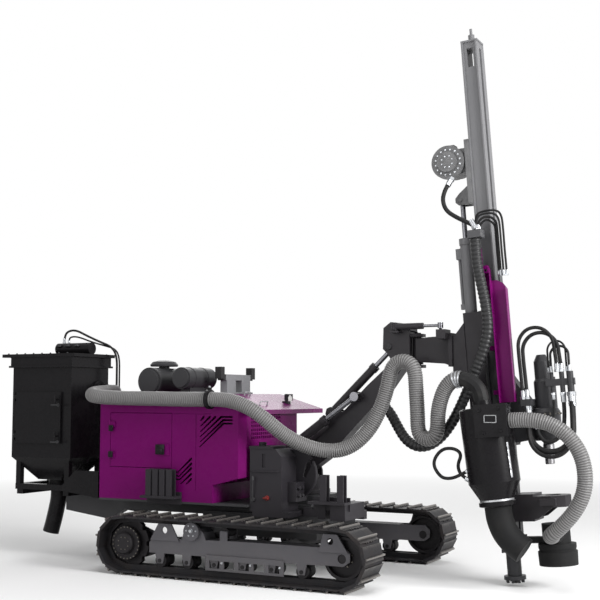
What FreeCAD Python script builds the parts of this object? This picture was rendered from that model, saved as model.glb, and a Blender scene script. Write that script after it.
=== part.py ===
"""Crawler drill rig for blast holes.

Frame: millimetres, +X towards the mast, +Y to the left of the machine, +Z up.
The origin lies on the ground, midway between the two tracks and under the
middle of the carbody. The mast and everything on it are drawn in a frame of
their own (forward, left, up along the mast) that leans back by mast_lean.
"""
import FreeCAD
import Part
import Sketcher
import math
import os
import re
from FreeCAD import Placement, Rotation, Vector

os.makedirs("parts", exist_ok=True)
doc = FreeCAD.newDocument("drill_rig")

# Driving sizes: name, millimetres or degrees or a count, what it is
SIZES = [
    ("track_pitch", 154, "pitch of the track shoes"),
    ("track_shoes", 39, "shoes in one track"),
    ("track_radius", 225, "radius of the chain's pin line round a wheel"),
    ("track_mid_x", 105, "middle of the track, forward of the origin"),
    ("track_mid_y", 957, "track centre line from the centre plane"),
    ("shoe_width", 385, "width of a shoe"),
    ("shoe_plate", 12, "thickness of a shoe plate"),
    ("shoe_lug", 24, "height of a shoe lug"),
    ("link_out", 24, "chain link above the pin line"),
    ("link_in", 26, "chain link below the pin line"),
    ("rail_gap", 34, "half gap between the two link rails"),
    ("rail_wide", 30, "width of one link rail"),
    ("frame_low", 215, "underside of a track frame"),
    ("frame_high", 372, "top of a track frame"),
    ("frame_half", 92, "half width of a track frame"),
    ("frame_rear", -760, "rear end of a track frame"),
    ("frame_front", 985, "front end of a track frame's box"),
    ("yoke_front", 1330, "front end of the idler yoke"),
    ("cheek", 16, "thickness of yoke, roller and lug plates"),
    ("roller_radius", 60, "tread radius of a bottom roller"),
    ("roller_half", 74, "half length of a bottom roller"),
    ("roller_count", 6, "bottom rollers of one track"),
    ("roller_first", -640, "rearmost bottom roller"),
    ("roller_pitch", 300, "pitch of the bottom rollers"),
    ("run_gap", 0.3, "running clearance between touching pieces"),
    ("beam_half", 310, "centre line of a chassis side beam"),
    ("beam_wide", 110, "width of a chassis side beam"),
    ("beam_low", 520, "underside of the chassis side beams"),
    ("deck_low", 648, "underside of the deck plate"),
    ("deck_top", 668, "top of the deck plate"),
    ("chassis_rear", -2330, "rear end of the chassis side beams"),
    ("chassis_front", 620, "front end of the chassis"),
    ("wall", 20, "thickness of canopy walls and doors"),
    ("canopy_rear", -1592, "rear face of the canopy"),
    ("canopy_front", 90, "front face of the canopy"),
    ("canopy_right", -750, "right face of the canopy"),
    ("canopy_left", 830, "left face of the canopy"),
    ("canopy_eaves", 1645, "wall height at the rear"),
    ("engine_drop", 225, "top of the engine block below the eaves"),
    ("ridge_x", -380, "place of the roof ridge"),
    ("ridge_z", 1690, "wall height at the roof ridge"),
    ("lip_x", 135, "front edge of the roof"),
    ("lip_z", 1535, "wall height at the roof's front edge"),
    ("roof_thick", 18, "thickness of the roof sheet"),
    ("cleaner_lift", 154, "axis of the rear air cleaner over the roof"),
    ("notch_x", -250, "front face of the canopy left of the notch"),
    ("notch_y", 330, "left end of the canopy's front face"),
    ("step_z", 837, "height of the step in the canopy's lower edge"),
    ("chin_z", 922, "lower edge of the canopy's front face"),
    ("door_rear", -1461, "rear edge of the engine doors"),
    ("door_front", -724, "front edge of the engine doors"),
    ("door_low", 985, "lower edge of the engine doors"),
    ("door_drop", 129, "upper edge of the engine doors below the eaves"),
    ("door_gap", 5, "gap round a door"),
    ("box_rear", -2850, "rear face of the dust collector"),
    ("box_front", -2055, "front face of the dust collector"),
    ("box_right", -650, "right face of the dust collector"),
    ("box_left", -30, "left face of the dust collector"),
    ("box_low", 1040, "lower edge of the collector's straight part"),
    ("box_high", 2010, "upper edge of the collector's straight part"),
    ("hopper_low", 800, "lower edge of the hopper"),
    ("hopper_half", 155, "half width of the hopper's mouth"),
    ("swing_x", 400, "axis of the boom swing"),
    ("turret_low", 745, "underside of the turret"),
    ("boom_foot_z", 1000, "height of the boom's foot pin"),
    ("knuckle_x", 1420, "knuckle pin, forward"),
    ("knuckle_z", 2020, "knuckle pin, height"),
    ("boom_half", 80, "half width of the boom"),
    ("ear", 25, "thickness of clevis ears"),
    ("side_gap", 10, "side clearance between a boom part and its ears"),
    ("pin_radius", 34, "radius of the boom pins"),
    ("lift_y", 168, "lift cylinders from the centre plane"),
    ("lift_foot_x", 200, "foot pin of the lift cylinders, forward"),
    ("lift_foot_z", 1120, "foot pin of the lift cylinders, height"),
    ("lift_lug_s", 891, "lift lug along the boom"),
    ("lift_lug_n", 71, "lift lug above the boom's line"),
    ("lift_barrel", 585, "length of a lift barrel"),
    ("tilt_foot_s", 560, "foot pin of the knuckle cylinder along the boom"),
    ("tilt_foot_n", 190, "foot pin of the knuckle cylinder above the boom"),
    ("tilt_pin_x", 1310, "rod pin of the knuckle cylinder, forward"),
    ("tilt_pin_z", 2150, "rod pin of the knuckle cylinder, height"),
    ("tilt_barrel", 640, "length of the knuckle barrel"),
    ("barrel_radius", 45, "radius of the boom cylinders' barrels"),
    ("rod_radius", 24, "radius of the boom cylinders' rods"),
    ("bore_play", 2, "radial play of a rod in its barrel"),
    ("arm_pin_x", 1560, "vertical pin of the arm"),
    ("arm_low", 1985, "underside of the arm"),
    ("arm_high", 2235, "top of the arm"),
    ("arm_half", 75, "half width of the arm"),
    ("arm_end", 1905, "front end of the arm's box"),
    ("hub_radius", 50, "radius of the arm's hub"),
    ("swing_cyl_y", -170, "arm cylinder from the centre plane"),
    ("swing_rise", 100, "arm cylinder above the top of the arm"),
    ("swing_foot_x", 1395, "foot pin of the arm cylinder"),
    ("swing_lug_x", 1850, "rod pin of the arm cylinder"),
    ("mast_foot_x", 2475, "mast centre line on the ground"),
    ("mast_lean", 3.9, "lean of the mast, degrees"),
    ("mast_low", 300, "lower end of the mast beam"),
    ("mast_high", 5010, "upper end of the mast beam"),
    ("mast_deep", 75, "half depth of the mast beam"),
    ("mast_half", 85, "half width of the mast beam"),
    ("flange_out", 110, "half width over the mast's guide flanges"),
    ("flange_thick", 15, "thickness of a guide flange"),
    ("cradle_low", 1270, "lower end of the cradle"),
    ("cradle_high", 2470, "upper end of the cradle"),
    ("cradle_back", -270, "back face of the cradle column"),
    ("comp_x", -215, "compensation cylinder behind the mast centre"),
    ("comp_high", 3170, "upper end of the compensation barrel"),
    ("comp_pin", 3530, "rod pin of the compensation cylinder"),
    ("channel_off", 142, "hose channel's back plate from the mast's centre plane"),
    ("drill_x", 400, "drill axis ahead of the mast centre"),
    ("head_low", 1270, "underside of the rotary gearbox"),
    ("carriage_low", 1240, "lower end of the feed carriage"),
    ("carriage_high", 1960, "upper end of the feed carriage"),
    ("table_low", 690, "underside of the clamp table"),
    ("table_high", 790, "top of the clamp table"),
    ("hood_low", 185, "lower edge of the dust hood's skirt"),
    ("cyclone_y", -410, "cyclone axis from the centre plane"),
    ("cyclone_x", 20, "foot of the cyclone ahead of the mast's centre plane"),
    ("cyclone_foot", 737, "foot of the cyclone, up the mast"),
    ("cyclone_tilt", 3.4, "lean of the cyclone past the mast's, degrees"),
    ("cyclone_radius", 225, "radius of the cyclone"),
    ("boot_radius", 116, "radius of the cyclone's rubber boot"),
    ("cyclone_high", 1590, "top of the cyclone"),
    ("duct_radius", 72, "radius of the suction duct"),
    ("ring_low", 700, "underside of the collector stand's ring"),
    ("ring_high", 760, "top of the collector stand's ring"),
    ("rack_out", -880, "outer edge of the rod racks"),
    ("rack_high", 980, "top of the rod racks' posts"),
    ("seam_wide", 7, "width of a panel seam"),
    ("seam_deep", 4, "depth of a panel seam"),
    ("seam_x", -440, "seam between the middle and the front side panel"),
    ("slot_wide", 17, "width of a louvre slot"),
    ("corner_cut", 58, "chamfer of the canopy's front right corner"),
    ("grille_pitch", 37, "pitch of the grille's square holes"),
    ("grille_hole", 25, "side of a square hole of the grille"),
    ("drum_radius", 232, "radius of the hose drum plate beside the turret"),
    ("manifold_low", 3120, "underside of the mast's hose manifold"),
    ("bulkhead_low", 1740, "underside of the head's hose bulkhead"),
    ("clamp_low", 1580, "underside of the head's hose clamp"),
    ("fitting", 60, "length of a hose fitting"),
    ("port_s", 1000, "hose port along the boom"),
]
sheet = doc.addObject("Spreadsheet::Sheet", "sizes")
for row, (word, value, about) in enumerate(SIZES, 1):
    sheet.set(f"A{row}", word)
    sheet.set(f"B{row}", str(value))
    sheet.set(f"C{row}", about)
    sheet.setAlias(f"B{row}", word)
doc.recompute()
WORDS = {word for word, value, about in SIZES}
probe = doc.addObject("App::FeaturePython", "formula_reader")
probe.addProperty("App::PropertyFloat", "Number")


# Helpers: formulas of the sheet, blocks, bars, plates, turned pieces
def bound(formula):
    """A formula with each size word turned into a reference to the sheet."""
    def refer(match):
        word = match.group(0)
        return "sizes." + word if word in WORDS else word
    return re.sub(r"[a-z][a-z0-9_]*", refer, str(formula))


def number(formula):
    """The value of a formula of the sheet."""
    if not isinstance(formula, str):
        return float(formula)
    probe.setExpression("Number", bound(formula))
    probe.recompute()
    return probe.Number


def bind(item, path, formula):
    """Ties a property to a formula of the sheet."""
    item.setExpression(path, bound(formula))


def block(name, x, y, z):
    """A block between two places on each axis."""
    item = doc.addObject("Part::Box", name)
    for side, letter, (low, high) in zip(("Length", "Width", "Height"), "xyz", (x, y, z)):
        bind(item, side, f"({high}) - ({low})")
        bind(item, f"Placement.Base.{letter}", low)
    return item


TURN = {
    "x": Rotation(Vector(0, 1, 0), 90),
    "y": Rotation(Vector(1, 0, 0), -90),
    "z": Rotation(),
}
ACROSS = {"x": "yz", "y": "xz", "z": "xy"}


def bar(name, axis, centre, low, high, radius):
    """A round bar along an axis, centred on a point of the other two."""
    item = doc.addObject("Part::Cylinder", name)
    item.Placement = Placement(Vector(), TURN[axis])
    bind(item, "Radius", radius)
    bind(item, "Height", f"({high}) - ({low})")
    bind(item, f"Placement.Base.{axis}", low)
    for letter, value in zip(ACROSS[axis], centre):
        bind(item, f"Placement.Base.{letter}", value)
    return item


def outline_sketch(body, name, plane_role, corners, holes=()):
    """A closed outline of straight sides with every corner tied to the sheet."""
    sketch = body.newObject("Sketcher::SketchObject", name)
    plane = [f for f in body.Origin.OriginFeatures if f.Role == plane_role][0]
    sketch.AttachmentSupport = [(plane, "")]
    sketch.MapMode = "FlatFace"
    places = [(number(u), number(v)) for u, v in corners]
    count = len(places)
    sides = []
    for i in range(count):
        start = Vector(*places[i], 0)
        end = Vector(*places[(i + 1) % count], 0)
        sides.append(Part.LineSegment(start, end))
    sketch.addGeometry(sides, False)
    ties = [Sketcher.Constraint("Coincident", i, 2, (i + 1) % count, 1) for i in range(count)]
    sketch.addConstraint(ties)
    for i, corner in enumerate(corners):
        for kind, formula, value in zip(("DistanceX", "DistanceY"), corner, places[i]):
            k = sketch.addConstraint(Sketcher.Constraint(kind, -1, 1, i, 1, value))
            if isinstance(formula, str):
                bind(sketch, f"Constraints[{k}]", formula)
    for u, v, radius in holes:
        circle = Part.Circle(Vector(number(u), number(v), 0), Vector(0, 0, 1), number(radius))
        index = sketch.addGeometry(circle, False)
        for kind, formula in (("DistanceX", u), ("DistanceY", v)):
            tie = Sketcher.Constraint(kind, -1, 1, index, 3, number(formula))
            k = sketch.addConstraint(tie)
            if isinstance(formula, str):
                bind(sketch, f"Constraints[{k}]", formula)
        k = sketch.addConstraint(Sketcher.Constraint("Radius", index, number(radius)))
        if isinstance(radius, str):
            bind(sketch, f"Constraints[{k}]", radius)
    return sketch


PLANE = {"x": "YZ_Plane", "y": "XZ_Plane", "z": "XY_Plane"}


def plate(name, axis, corners, low, high, holes=()):
    """An outline across an axis, padded from low to high along it."""
    body = doc.addObject("PartDesign::Body", name)
    sketch = outline_sketch(body, name + "_outline", PLANE[axis], corners, holes)
    pad = body.newObject("PartDesign::Pad", name + "_pad")
    pad.Profile = sketch
    bind(pad, "Length", f"({high}) - ({low})")
    bind(body, f"Placement.Base.{axis}", high if axis == "y" else low)
    return body


def turned(name, axis, centre, start, profile):
    """A profile of (radius, height) corners turned round an axis of its own."""
    body = doc.addObject("PartDesign::Body", name)
    sketch = outline_sketch(body, name + "_profile", "XZ_Plane", profile)
    turn = body.newObject("PartDesign::Revolution", name + "_turn")
    turn.Profile = sketch
    turn.ReferenceAxis = (sketch, ["V_Axis"])
    turn.Angle = 360
    body.Placement = Placement(Vector(), TURN[axis])
    bind(body, f"Placement.Base.{axis}", start)
    for letter, value in zip(ACROSS[axis], centre):
        bind(body, f"Placement.Base.{letter}", value)
    return body


def joined(name, items):
    """Pieces that are one solid."""
    item = doc.addObject("Part::MultiFuse", name)
    item.Shapes = items
    return item


def together(name, items):
    """Like solids of one node that do not touch."""
    item = doc.addObject("Part::Compound", name)
    item.Links = items
    return item


def less(name, base, tools):
    """A piece with others cut out of it."""
    item = doc.addObject("Part::Cut", name)
    item.Base = base
    item.Tool = tools[0] if len(tools) == 1 else joined(name + "_tools", tools)
    return item


def shaped(name, shape):
    """A piece whose shape is worked out from the sheet in this source."""
    item = doc.addObject("Part::Feature", name)
    item.Shape = shape
    return item


def tube_path(points, reach=0.45):
    """Straight runs joined by tangent arcs; returns the wire and its smallest radius."""
    places = [Vector(*p) for p in points]
    edges = []
    smallest = 1e9
    start = places[0]
    for before, corner, after in zip(places, places[1:], places[2:]):
        into = (corner - before).normalize()
        out = (after - corner).normalize()
        turn = into.getAngle(out)
        shorter = min((corner - before).Length, (after - corner).Length)
        setback = reach * shorter
        radius = setback / math.tan(turn / 2)
        smallest = min(smallest, radius)
        first = corner - into * setback
        last = corner + out * setback
        inward = (out - into).normalize()
        centre = corner + inward * math.hypot(setback, radius)
        middle = centre + (corner - centre).normalize() * radius
        edges.append(Part.LineSegment(start, first).toShape())
        edges.append(Part.Arc(first, middle, last).toShape())
        start = last
    edges.append(Part.LineSegment(start, places[-1]).toShape())
    return Part.Wire(edges), smallest


def tube(name, points, radius):
    """A plain round tube along a route of points."""
    wire, smallest = tube_path(points)
    start = Vector(*points[0])
    along = (Vector(*points[1]) - start).normalize()
    ring = Part.Wire(Part.makeCircle(radius, start, along))
    solid = wire.makePipeShell([ring], True, True)
    expected = math.pi * radius ** 2 * wire.Length
    print(f"{name}: length {wire.Length:.0f}, smallest radius {smallest:.0f},"
          f" volume {solid.Volume / expected:.4f} of section times length")
    return shaped(name, solid)


NODES = []


def node(name, item):
    """Marks a finished piece as a node of the assembly."""
    item.Label = name
    NODES.append(item)
    return item


def lean(item):
    """Sets a piece drawn in the mast's own frame on the leaning mast."""
    item.Placement = Placement(Vector(), mast_turn)
    bind(item, "Placement.Base.x", "mast_foot_x")
    bind(item, "Placement.Rotation.Angle", "mast_lean")
    return item


def pose(item, point, angle, axis=Vector(0, -1, 0)):
    """Sets a piece drawn along +X on its pin, raised by an angle in degrees."""
    item.Placement = Placement(point, Rotation(axis, angle))
    return item


# Places worked out from the sheet
foot = Vector(number("swing_x"), 0, number("boom_foot_z"))
knuckle = Vector(number("knuckle_x"), 0, number("knuckle_z"))
boom_run = knuckle - foot
boom_length = boom_run.Length
boom_angle = math.degrees(math.atan2(boom_run.z, boom_run.x))


def on_boom(along, above, left=0.0):
    """A place given along and above the boom's line."""
    place = Rotation(Vector(0, -1, 0), boom_angle).multVec(Vector(along, 0, above))
    return foot + place + Vector(0, left, 0)


lift_foot = Vector(number("lift_foot_x"), 0, number("lift_foot_z"))
lift_lug = on_boom(number("lift_lug_s"), number("lift_lug_n"))
tilt_foot = on_boom(number("tilt_foot_s"), number("tilt_foot_n"))
tilt_pin = Vector(number("tilt_pin_x"), 0, number("tilt_pin_z"))
mast_turn = Rotation(Vector(0, -1, 0), number("mast_lean"))
mast_foot = Vector(number("mast_foot_x"), 0, 0)


def on_mast(forward, left, up):
    """A place given in the mast's own frame."""
    return mast_foot + mast_turn.multVec(Vector(forward, left, up))


def slope(start, end):
    """Length and rise in degrees from one pin to another."""
    run = end - start
    return run.Length, math.degrees(math.atan2(run.z, run.x))


# Tracks: a chain of two link rails that carries lugged shoe plates
def between(outside, inside):
    """The flat face between two closed outlines."""
    outer = Part.Face(Part.makePolygon(outside + outside[:1]))
    return outer.cut(Part.Face(Part.makePolygon(inside + inside[:1])))


def track_loop(side):
    """One closed track with the outline of its shoes."""
    pitch = number("track_pitch")
    count = int(number("track_shoes"))
    radius = number("track_radius")
    half_run = (count * pitch - 2 * math.pi * radius) / 4
    loop = 2 * half_run * 2 + 2 * math.pi * radius
    low = number("shoe_plate + shoe_lug + link_out")
    mid_x = number("track_mid_x")
    axle_z = low + radius

    def at(travel):
        """Place and outward direction on the pin line after a travel."""
        travel %= loop
        if travel < 2 * half_run:
            return mid_x - half_run + travel, low, 0.0, -1.0
        travel -= 2 * half_run
        if travel < math.pi * radius:
            turn = travel / radius
            return (mid_x + half_run + radius * math.sin(turn),
                    axle_z - radius * math.cos(turn), math.sin(turn), -math.cos(turn))
        travel -= math.pi * radius
        if travel < 2 * half_run:
            return mid_x + half_run - travel, axle_z + radius, 0.0, 1.0
        turn = (travel - 2 * half_run) / radius
        return (mid_x - half_run - radius * math.sin(turn),
                axle_z + radius * math.cos(turn), -math.sin(turn), math.cos(turn))

    def ring(offset):
        """The pin line's polygon moved outward."""
        places = []
        for i in range(count):
            x, z, out_x, out_z = at(i * pitch)
            places.append(Vector(x + out_x * offset, 0, z + out_z * offset))
        return places

    link_out = number("link_out")
    plate_top = link_out + number("shoe_plate")
    lug_top = plate_top + number("shoe_lug")
    shoe_shape = [(-0.48, link_out), (-0.48, plate_top), (-0.30, plate_top), (-0.26, lug_top),
                  (-0.18, lug_top), (-0.14, plate_top), (0.48, plate_top), (0.48, link_out)]
    places = []
    for i in range(count):
        x, z, out_x, out_z = at((i + 0.5) * pitch)
        for along, out in shoe_shape:
            forward = along * pitch
            places.append(Vector(x + out_x * out - out_z * forward, 0,
                                 z + out_z * out + out_x * forward))
    half_shoe = number("shoe_width") / 2
    inner = ring(link_out - 4)
    band = between(places, inner).extrude(Vector(0, 2 * half_shoe, 0))
    band.translate(Vector(0, -half_shoe, 0))
    outer = ring(link_out - 2)
    within = ring(-number("link_in"))
    rails = between(outer, within)
    pieces = []
    for start in (number("rail_gap"), -number("rail_gap + rail_wide")):
        rail = rails.extrude(Vector(0, number("rail_wide"), 0))
        rail.translate(Vector(0, start, 0))
        pieces.append(rail)
    loop_solid = band.fuse(pieces)
    loop_solid.translate(Vector(0, side * number("track_mid_y"), 0))
    return loop_solid


for side, word in ((-1, "right"), (1, "left")):
    node(f"track_{word}", shaped(f"loop_{word}", track_loop(side)))

# Wheel centres: the loop of whole shoes sets their distance
HALF_RUN = "(track_shoes * track_pitch - 2 * pi * track_radius) / 4"
AXLE_Z = "(shoe_plate + shoe_lug + link_out + track_radius)"
SPROCKET_X = f"(track_mid_x - {HALF_RUN})"
IDLER_X = f"(track_mid_x + {HALF_RUN})"
CHAIN_FLOOR = "(shoe_plate + shoe_lug + link_out + link_in)"
CHAIN_ROOF = f"({AXLE_Z} + track_radius - link_in)"
TREAD = "((track_radius - link_in) * cos(90 * track_pitch / (pi * track_radius)))"


def sprocket(word, side):
    """A toothed wheel with its final drive and bolt ring."""
    mid = f"{side} * track_mid_y"
    teeth = doc.addObject("PartDesign::Body", f"teeth_{word}")
    disc = outline_circle(teeth, f"teeth_{word}_disc", "track_radius + 4")
    pad = teeth.newObject("PartDesign::Pad", f"teeth_{word}_pad")
    pad.Profile = disc
    pad.Length = 52
    notch = outline_circle(teeth, f"teeth_{word}_notch", "27", "track_radius + 4")
    pocket = teeth.newObject("PartDesign::Pocket", f"teeth_{word}_pocket")
    pocket.Profile = notch
    pocket.Type = 1
    pocket.Midplane = True
    ring = teeth.newObject("PartDesign::PolarPattern", f"teeth_{word}_ring")
    ring.Originals = [pocket]
    ring.Axis = (disc, ["N_Axis"])
    ring.Angle = 360
    ring.Occurrences = 9
    teeth.Tip = ring
    teeth.Placement = Placement(Vector(), TURN["y"])
    bind(teeth, "Placement.Base.x", SPROCKET_X)
    bind(teeth, "Placement.Base.y", f"{mid} - 26")
    bind(teeth, "Placement.Base.z", AXLE_Z)
    out = "-1" if side < 0 else "1"
    if side < 0:
        drive = turned(f"drive_{word}", "y", (SPROCKET_X, AXLE_Z), f"{mid} - 130", [
            (0, 0), (92, 0), (104, 14), (104, 44), (158, 44), (158, 70), (148, 84),
            (148, 150), (112, 150), (112, 262), (0, 262)])
    else:
        drive = turned(f"drive_{word}", "y", (SPROCKET_X, AXLE_Z), f"{mid} - 132", [
            (0, 0), (112, 0), (112, 112), (148, 112), (148, 178), (158, 192), (158, 218),
            (104, 218), (104, 248), (92, 262), (0, 262)])
    return joined(f"sprocket_{word}_solid", [teeth, drive])


def outline_circle(body, name, radius, away="0"):
    """A circle on the body's own ground plane, off its middle if asked."""
    sketch = body.newObject("Sketcher::SketchObject", name)
    plane = [f for f in body.Origin.OriginFeatures if f.Role == "XY_Plane"][0]
    sketch.AttachmentSupport = [(plane, "")]
    sketch.MapMode = "FlatFace"
    middle = Vector(number(away), 0, 0)
    sketch.addGeometry(Part.Circle(middle, Vector(0, 0, 1), number(radius)), False)
    k = sketch.addConstraint(Sketcher.Constraint("DistanceX", -1, 1, 0, 3, middle.x))
    bind(sketch, f"Constraints[{k}]", away)
    sketch.addConstraint(Sketcher.Constraint("DistanceY", -1, 1, 0, 3, 0.0))
    k = sketch.addConstraint(Sketcher.Constraint("Radius", 0, number(radius)))
    bind(sketch, f"Constraints[{k}]", radius)
    return sketch


node("sprockets", together("sprocket_pair", [sprocket("right", -1), sprocket("left", 1)]))


def idler(word, side):
    """A front wheel with a dished web and a middle flange between the rails."""
    return turned(f"idler_{word}", "y", (IDLER_X, AXLE_Z),
                  f"{side} * track_mid_y - frame_half + cheek - 8", [
        (0, 0), (40, 0), (40, 28), (70, 28), (70, 50), (160, 62), (TREAD + " - 0.3 - 26", 18),
        (TREAD + " - 0.3", 18), (TREAD + " - 0.3", 60), (TREAD + " + 14", 60),
        (TREAD + " + 14", 108), (TREAD + " - 0.3", 108), (TREAD + " - 0.3", 150),
        (TREAD + " - 0.3 - 26", 150), (160, 106), (70, 118), (70, 140), (40, 140),
        (40, 168), (0, 168)])


node("idlers", together("idler_pair", [idler("right", -1), idler("left", 1)]))


def roller_set():
    """Bottom rollers with a middle flange and one carrier roller a side."""
    rollers = []
    drop = "roller_radius + run_gap"
    for side in (-1, 1):
        for i in range(int(number("roller_count"))):
            rollers.append(turned(
                f"roller_{'right' if side < 0 else 'left'}_{i}", "y",
                (f"roller_first + {i} * roller_pitch", f"{CHAIN_FLOOR} + {drop}"),
                f"{side} * track_mid_y - frame_half - 6", [
                    (0, 0), (18, 0), (18, "frame_half + 6 - roller_half"),
                    ("roller_radius", "frame_half + 6 - roller_half"),
                    ("roller_radius", "frame_half + 6 - rail_gap + 4"),
                    ("roller_radius + 8", "frame_half + 6 - rail_gap + 4"),
                    ("roller_radius + 8", "frame_half + 6 + rail_gap - 4"),
                    ("roller_radius", "frame_half + 6 + rail_gap - 4"),
                    ("roller_radius", "frame_half + 6 + roller_half"),
                    (18, "frame_half + 6 + roller_half"),
                    (18, "2 * (frame_half + 6)"), (0, "2 * (frame_half + 6)")]))
        rollers.append(turned(
            f"carrier_{'right' if side < 0 else 'left'}", "y",
            (60, f"{CHAIN_ROOF} - run_gap - 42"), f"{side} * track_mid_y - 80", [
                (0, 0), (24, 0), (24, 10), (42, 10), (42, 150), (24, 150), (24, 160), (0, 160)]))
    return together("roller_set", rollers)


node("rollers", roller_set())


def track_frame(word, side):
    """A box beam with the idler yoke, roller brackets, lifting lugs and pivot block."""
    mid = f"{side} * track_mid_y"
    low_y = f"{mid} - frame_half"
    high_y = f"{mid} + frame_half"
    outer = high_y if side > 0 else low_y
    out_low = outer if side > 0 else f"{outer} - cheek"
    out_high = f"{outer} + cheek" if side > 0 else outer
    pieces = [plate(f"beam_{word}", "y", [
        ("frame_rear", "frame_low"), ("frame_front", "frame_low"), ("frame_front", "frame_high"),
        (200, "frame_high"), ("frame_rear + 40", "frame_high - 24"),
        ("frame_rear", "frame_high - 60")], low_y, high_y)]
    for at, start in (("inner", low_y), ("outer", f"{high_y} - cheek")):
        pieces.append(plate(f"yoke_{word}_{at}", "y", [
            ("frame_front - 10", "frame_low + 5"), ("yoke_front - 60", "frame_low + 5"),
            ("yoke_front", "frame_low + 50"), ("yoke_front", "frame_high - 40"),
            ("yoke_front - 50", "frame_high + 10"), ("frame_front - 10", "frame_high")],
            start, f"{start} + cheek", [(IDLER_X, AXLE_Z, "40.3")]))
    inner = low_y if side > 0 else f"{high_y} - cheek"
    pieces.append(plate(f"drive_plate_{word}", "y", [
        (f"{SPROCKET_X} - 120", 200), (f"{SPROCKET_X} - 60", 140), (f"{SPROCKET_X} + 120", 140),
        ("frame_rear + 90", "frame_low"), ("frame_rear + 90", "frame_high - 40"),
        (f"{SPROCKET_X} + 60", 450), (f"{SPROCKET_X} - 80", 450), (f"{SPROCKET_X} - 150", 330)],
        inner, f"{inner} + cheek", [(SPROCKET_X, AXLE_Z, "112.3")]))
    for i in range(int(number("roller_count"))):
        x = f"roller_first + {i} * roller_pitch"
        for at, start in (("a", low_y), ("b", f"{high_y} - cheek")):
            axle = f"{CHAIN_FLOOR} + roller_radius + run_gap"
            pieces.append(plate(f"pedestal_{word}_{i}{at}", "y", [
                (f"{x} - 30", f"{axle} - 26"), (f"{x} + 30", f"{axle} - 26"),
                (f"{x} + 52", "frame_low + 2"), (f"{x} - 52", "frame_low + 2")],
                start, f"{start} + cheek", [(x, axle, "18.3")]))
    for at, corners, hole in (
            ("rear", [(-740, 335), (-415, 335), (-505, 492), (-650, 492)], (-578, 432, 30)),
            ("front", [(1035, 335), (1318, 335), (1215, 492), (1080, 492)], (1149, 432, 30))):
        pieces.append(plate(f"lug_{word}_{at}", "y", corners, out_low, out_high, [hole]))
    pieces.append(plate(f"guard_{word}", "y", [
        (-124, 96), (689, 96), (689, "frame_low + 20"), (-124, "frame_low + 20")],
        out_low, out_high))
    windows = []
    for i in range(5):
        left = f"{-84 + 155 * i}"
        windows.append(block(f"window_{word}_{i}", (left, f"{left} + 112"),
                             (f"{out_low} - 1", f"{out_high} + 1"), (118, 186)))
    pieces[-1] = less(f"guard_cut_{word}", pieces[-1], windows)
    pieces.append(plate(f"pivot_{word}", "y", [
        (-400, "frame_high - 40"), (-120, "frame_high - 40"), (-160, 430), (-215, 470),
        (-330, 470), (-372, 430)], low_y, high_y))
    boss_low = f"{out_low} - 18" if side < 0 else outer
    boss_high = outer if side < 0 else f"{out_high} + 18"
    pieces.append(bar(f"boss_{word}", "y", (-273, 436), boss_low, boss_high, 84))
    pieces.append(block(f"carrier_post_{word}", (20, 100), (f"{mid} - 92", f"{mid} - 81"),
                        ("frame_high - 5", 455)))
    pieces.append(block(f"carrier_post_b_{word}", (20, 100), (f"{mid} + 81", f"{mid} + 92"),
                        ("frame_high - 5", 455)))
    return joined(f"track_frame_{word}_solid", pieces)


node("track_frames", together("track_frame_pair",
                              [track_frame("right", -1), track_frame("left", 1)]))


# Chassis: carbody between the tracks, side beams, deck and boom mount
def chassis():
    """The welded frame that carries canopy, collector stand and kingpost."""
    pieces = [block("carbody", (-560, 700), (-430, 430), (340, 560))]
    inner = "(track_mid_y - frame_half)"
    for word, x, z in (("rear", -273, 430), ("front", 480, 300)):
        pieces.append(bar(f"axle_{word}", "y", (x, z), f"-{inner} + 0.3", f"{inner} - 0.3", 45))
    for side, word in ((-1, "right"), (1, "left")):
        mid = f"{side} * beam_half"
        pieces.append(plate(f"side_beam_{word}", "y", [
            ("chassis_rear", "beam_low - 40"), (-1760, "beam_low - 110"),
            (-1560, "beam_low"), ("chassis_front", "beam_low"),
            ("chassis_front", "deck_low + 2"), ("chassis_rear", "deck_low + 2")],
            f"{mid} - beam_wide / 2", f"{mid} + beam_wide / 2"))
    for i, x in enumerate((-2330, -1980, -1640, -1270, -900, -530, -160)):
        pieces.append(block(f"cross_{i}", (x, x + 90), ("-beam_half", "beam_half"),
                            ("beam_low + 10", "deck_low")))
    pieces.append(block("deck", ("canopy_rear", "canopy_front + 40"),
                        ("canopy_right", "canopy_left"), ("deck_low", "deck_top")))
    pieces.append(block("mount_box", ("swing_x - 245", "chassis_front"),
                        (-255, 255), ("beam_low", "turret_low - 15")))
    pieces.append(bar("kingpost_seat", "z", ("swing_x", 0), "turret_low - 20",
                      "turret_low - run_gap", 190))
    pieces.append(bar("kingpost", "z", ("swing_x", 0), "turret_low - 20", "turret_low + 120", 70))
    return joined("chassis_solid", pieces)


node("chassis_frame", chassis())


# Canopy: sheet walls with door openings, grille and a folded roof
DOOR_HIGH = "(canopy_eaves - door_drop)"

# Louvre slots of the side walls: lower end x, z, then upper end x, z, then end of the level part
LOUVRES = [
    (-398, 1448, -345, 1487, None),
    (-398, 1396, -275, 1487, None),
    (-398, 1344, -214, 1487, None),
    (-402, 1294, -150, 1487, -30),
    (-402, 1245, -126, 1457, -30),
    (-408, 1196, -126, 1424, -30),
    (-664, 942, -484, 1084, -690),
    (-646, 906, -482, 1038, -690),
    (-642, 873, -484, 992, -690),
    (-622, 838, -484, 938, None),
    (-556, 838, -484, 890, None),
]


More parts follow.
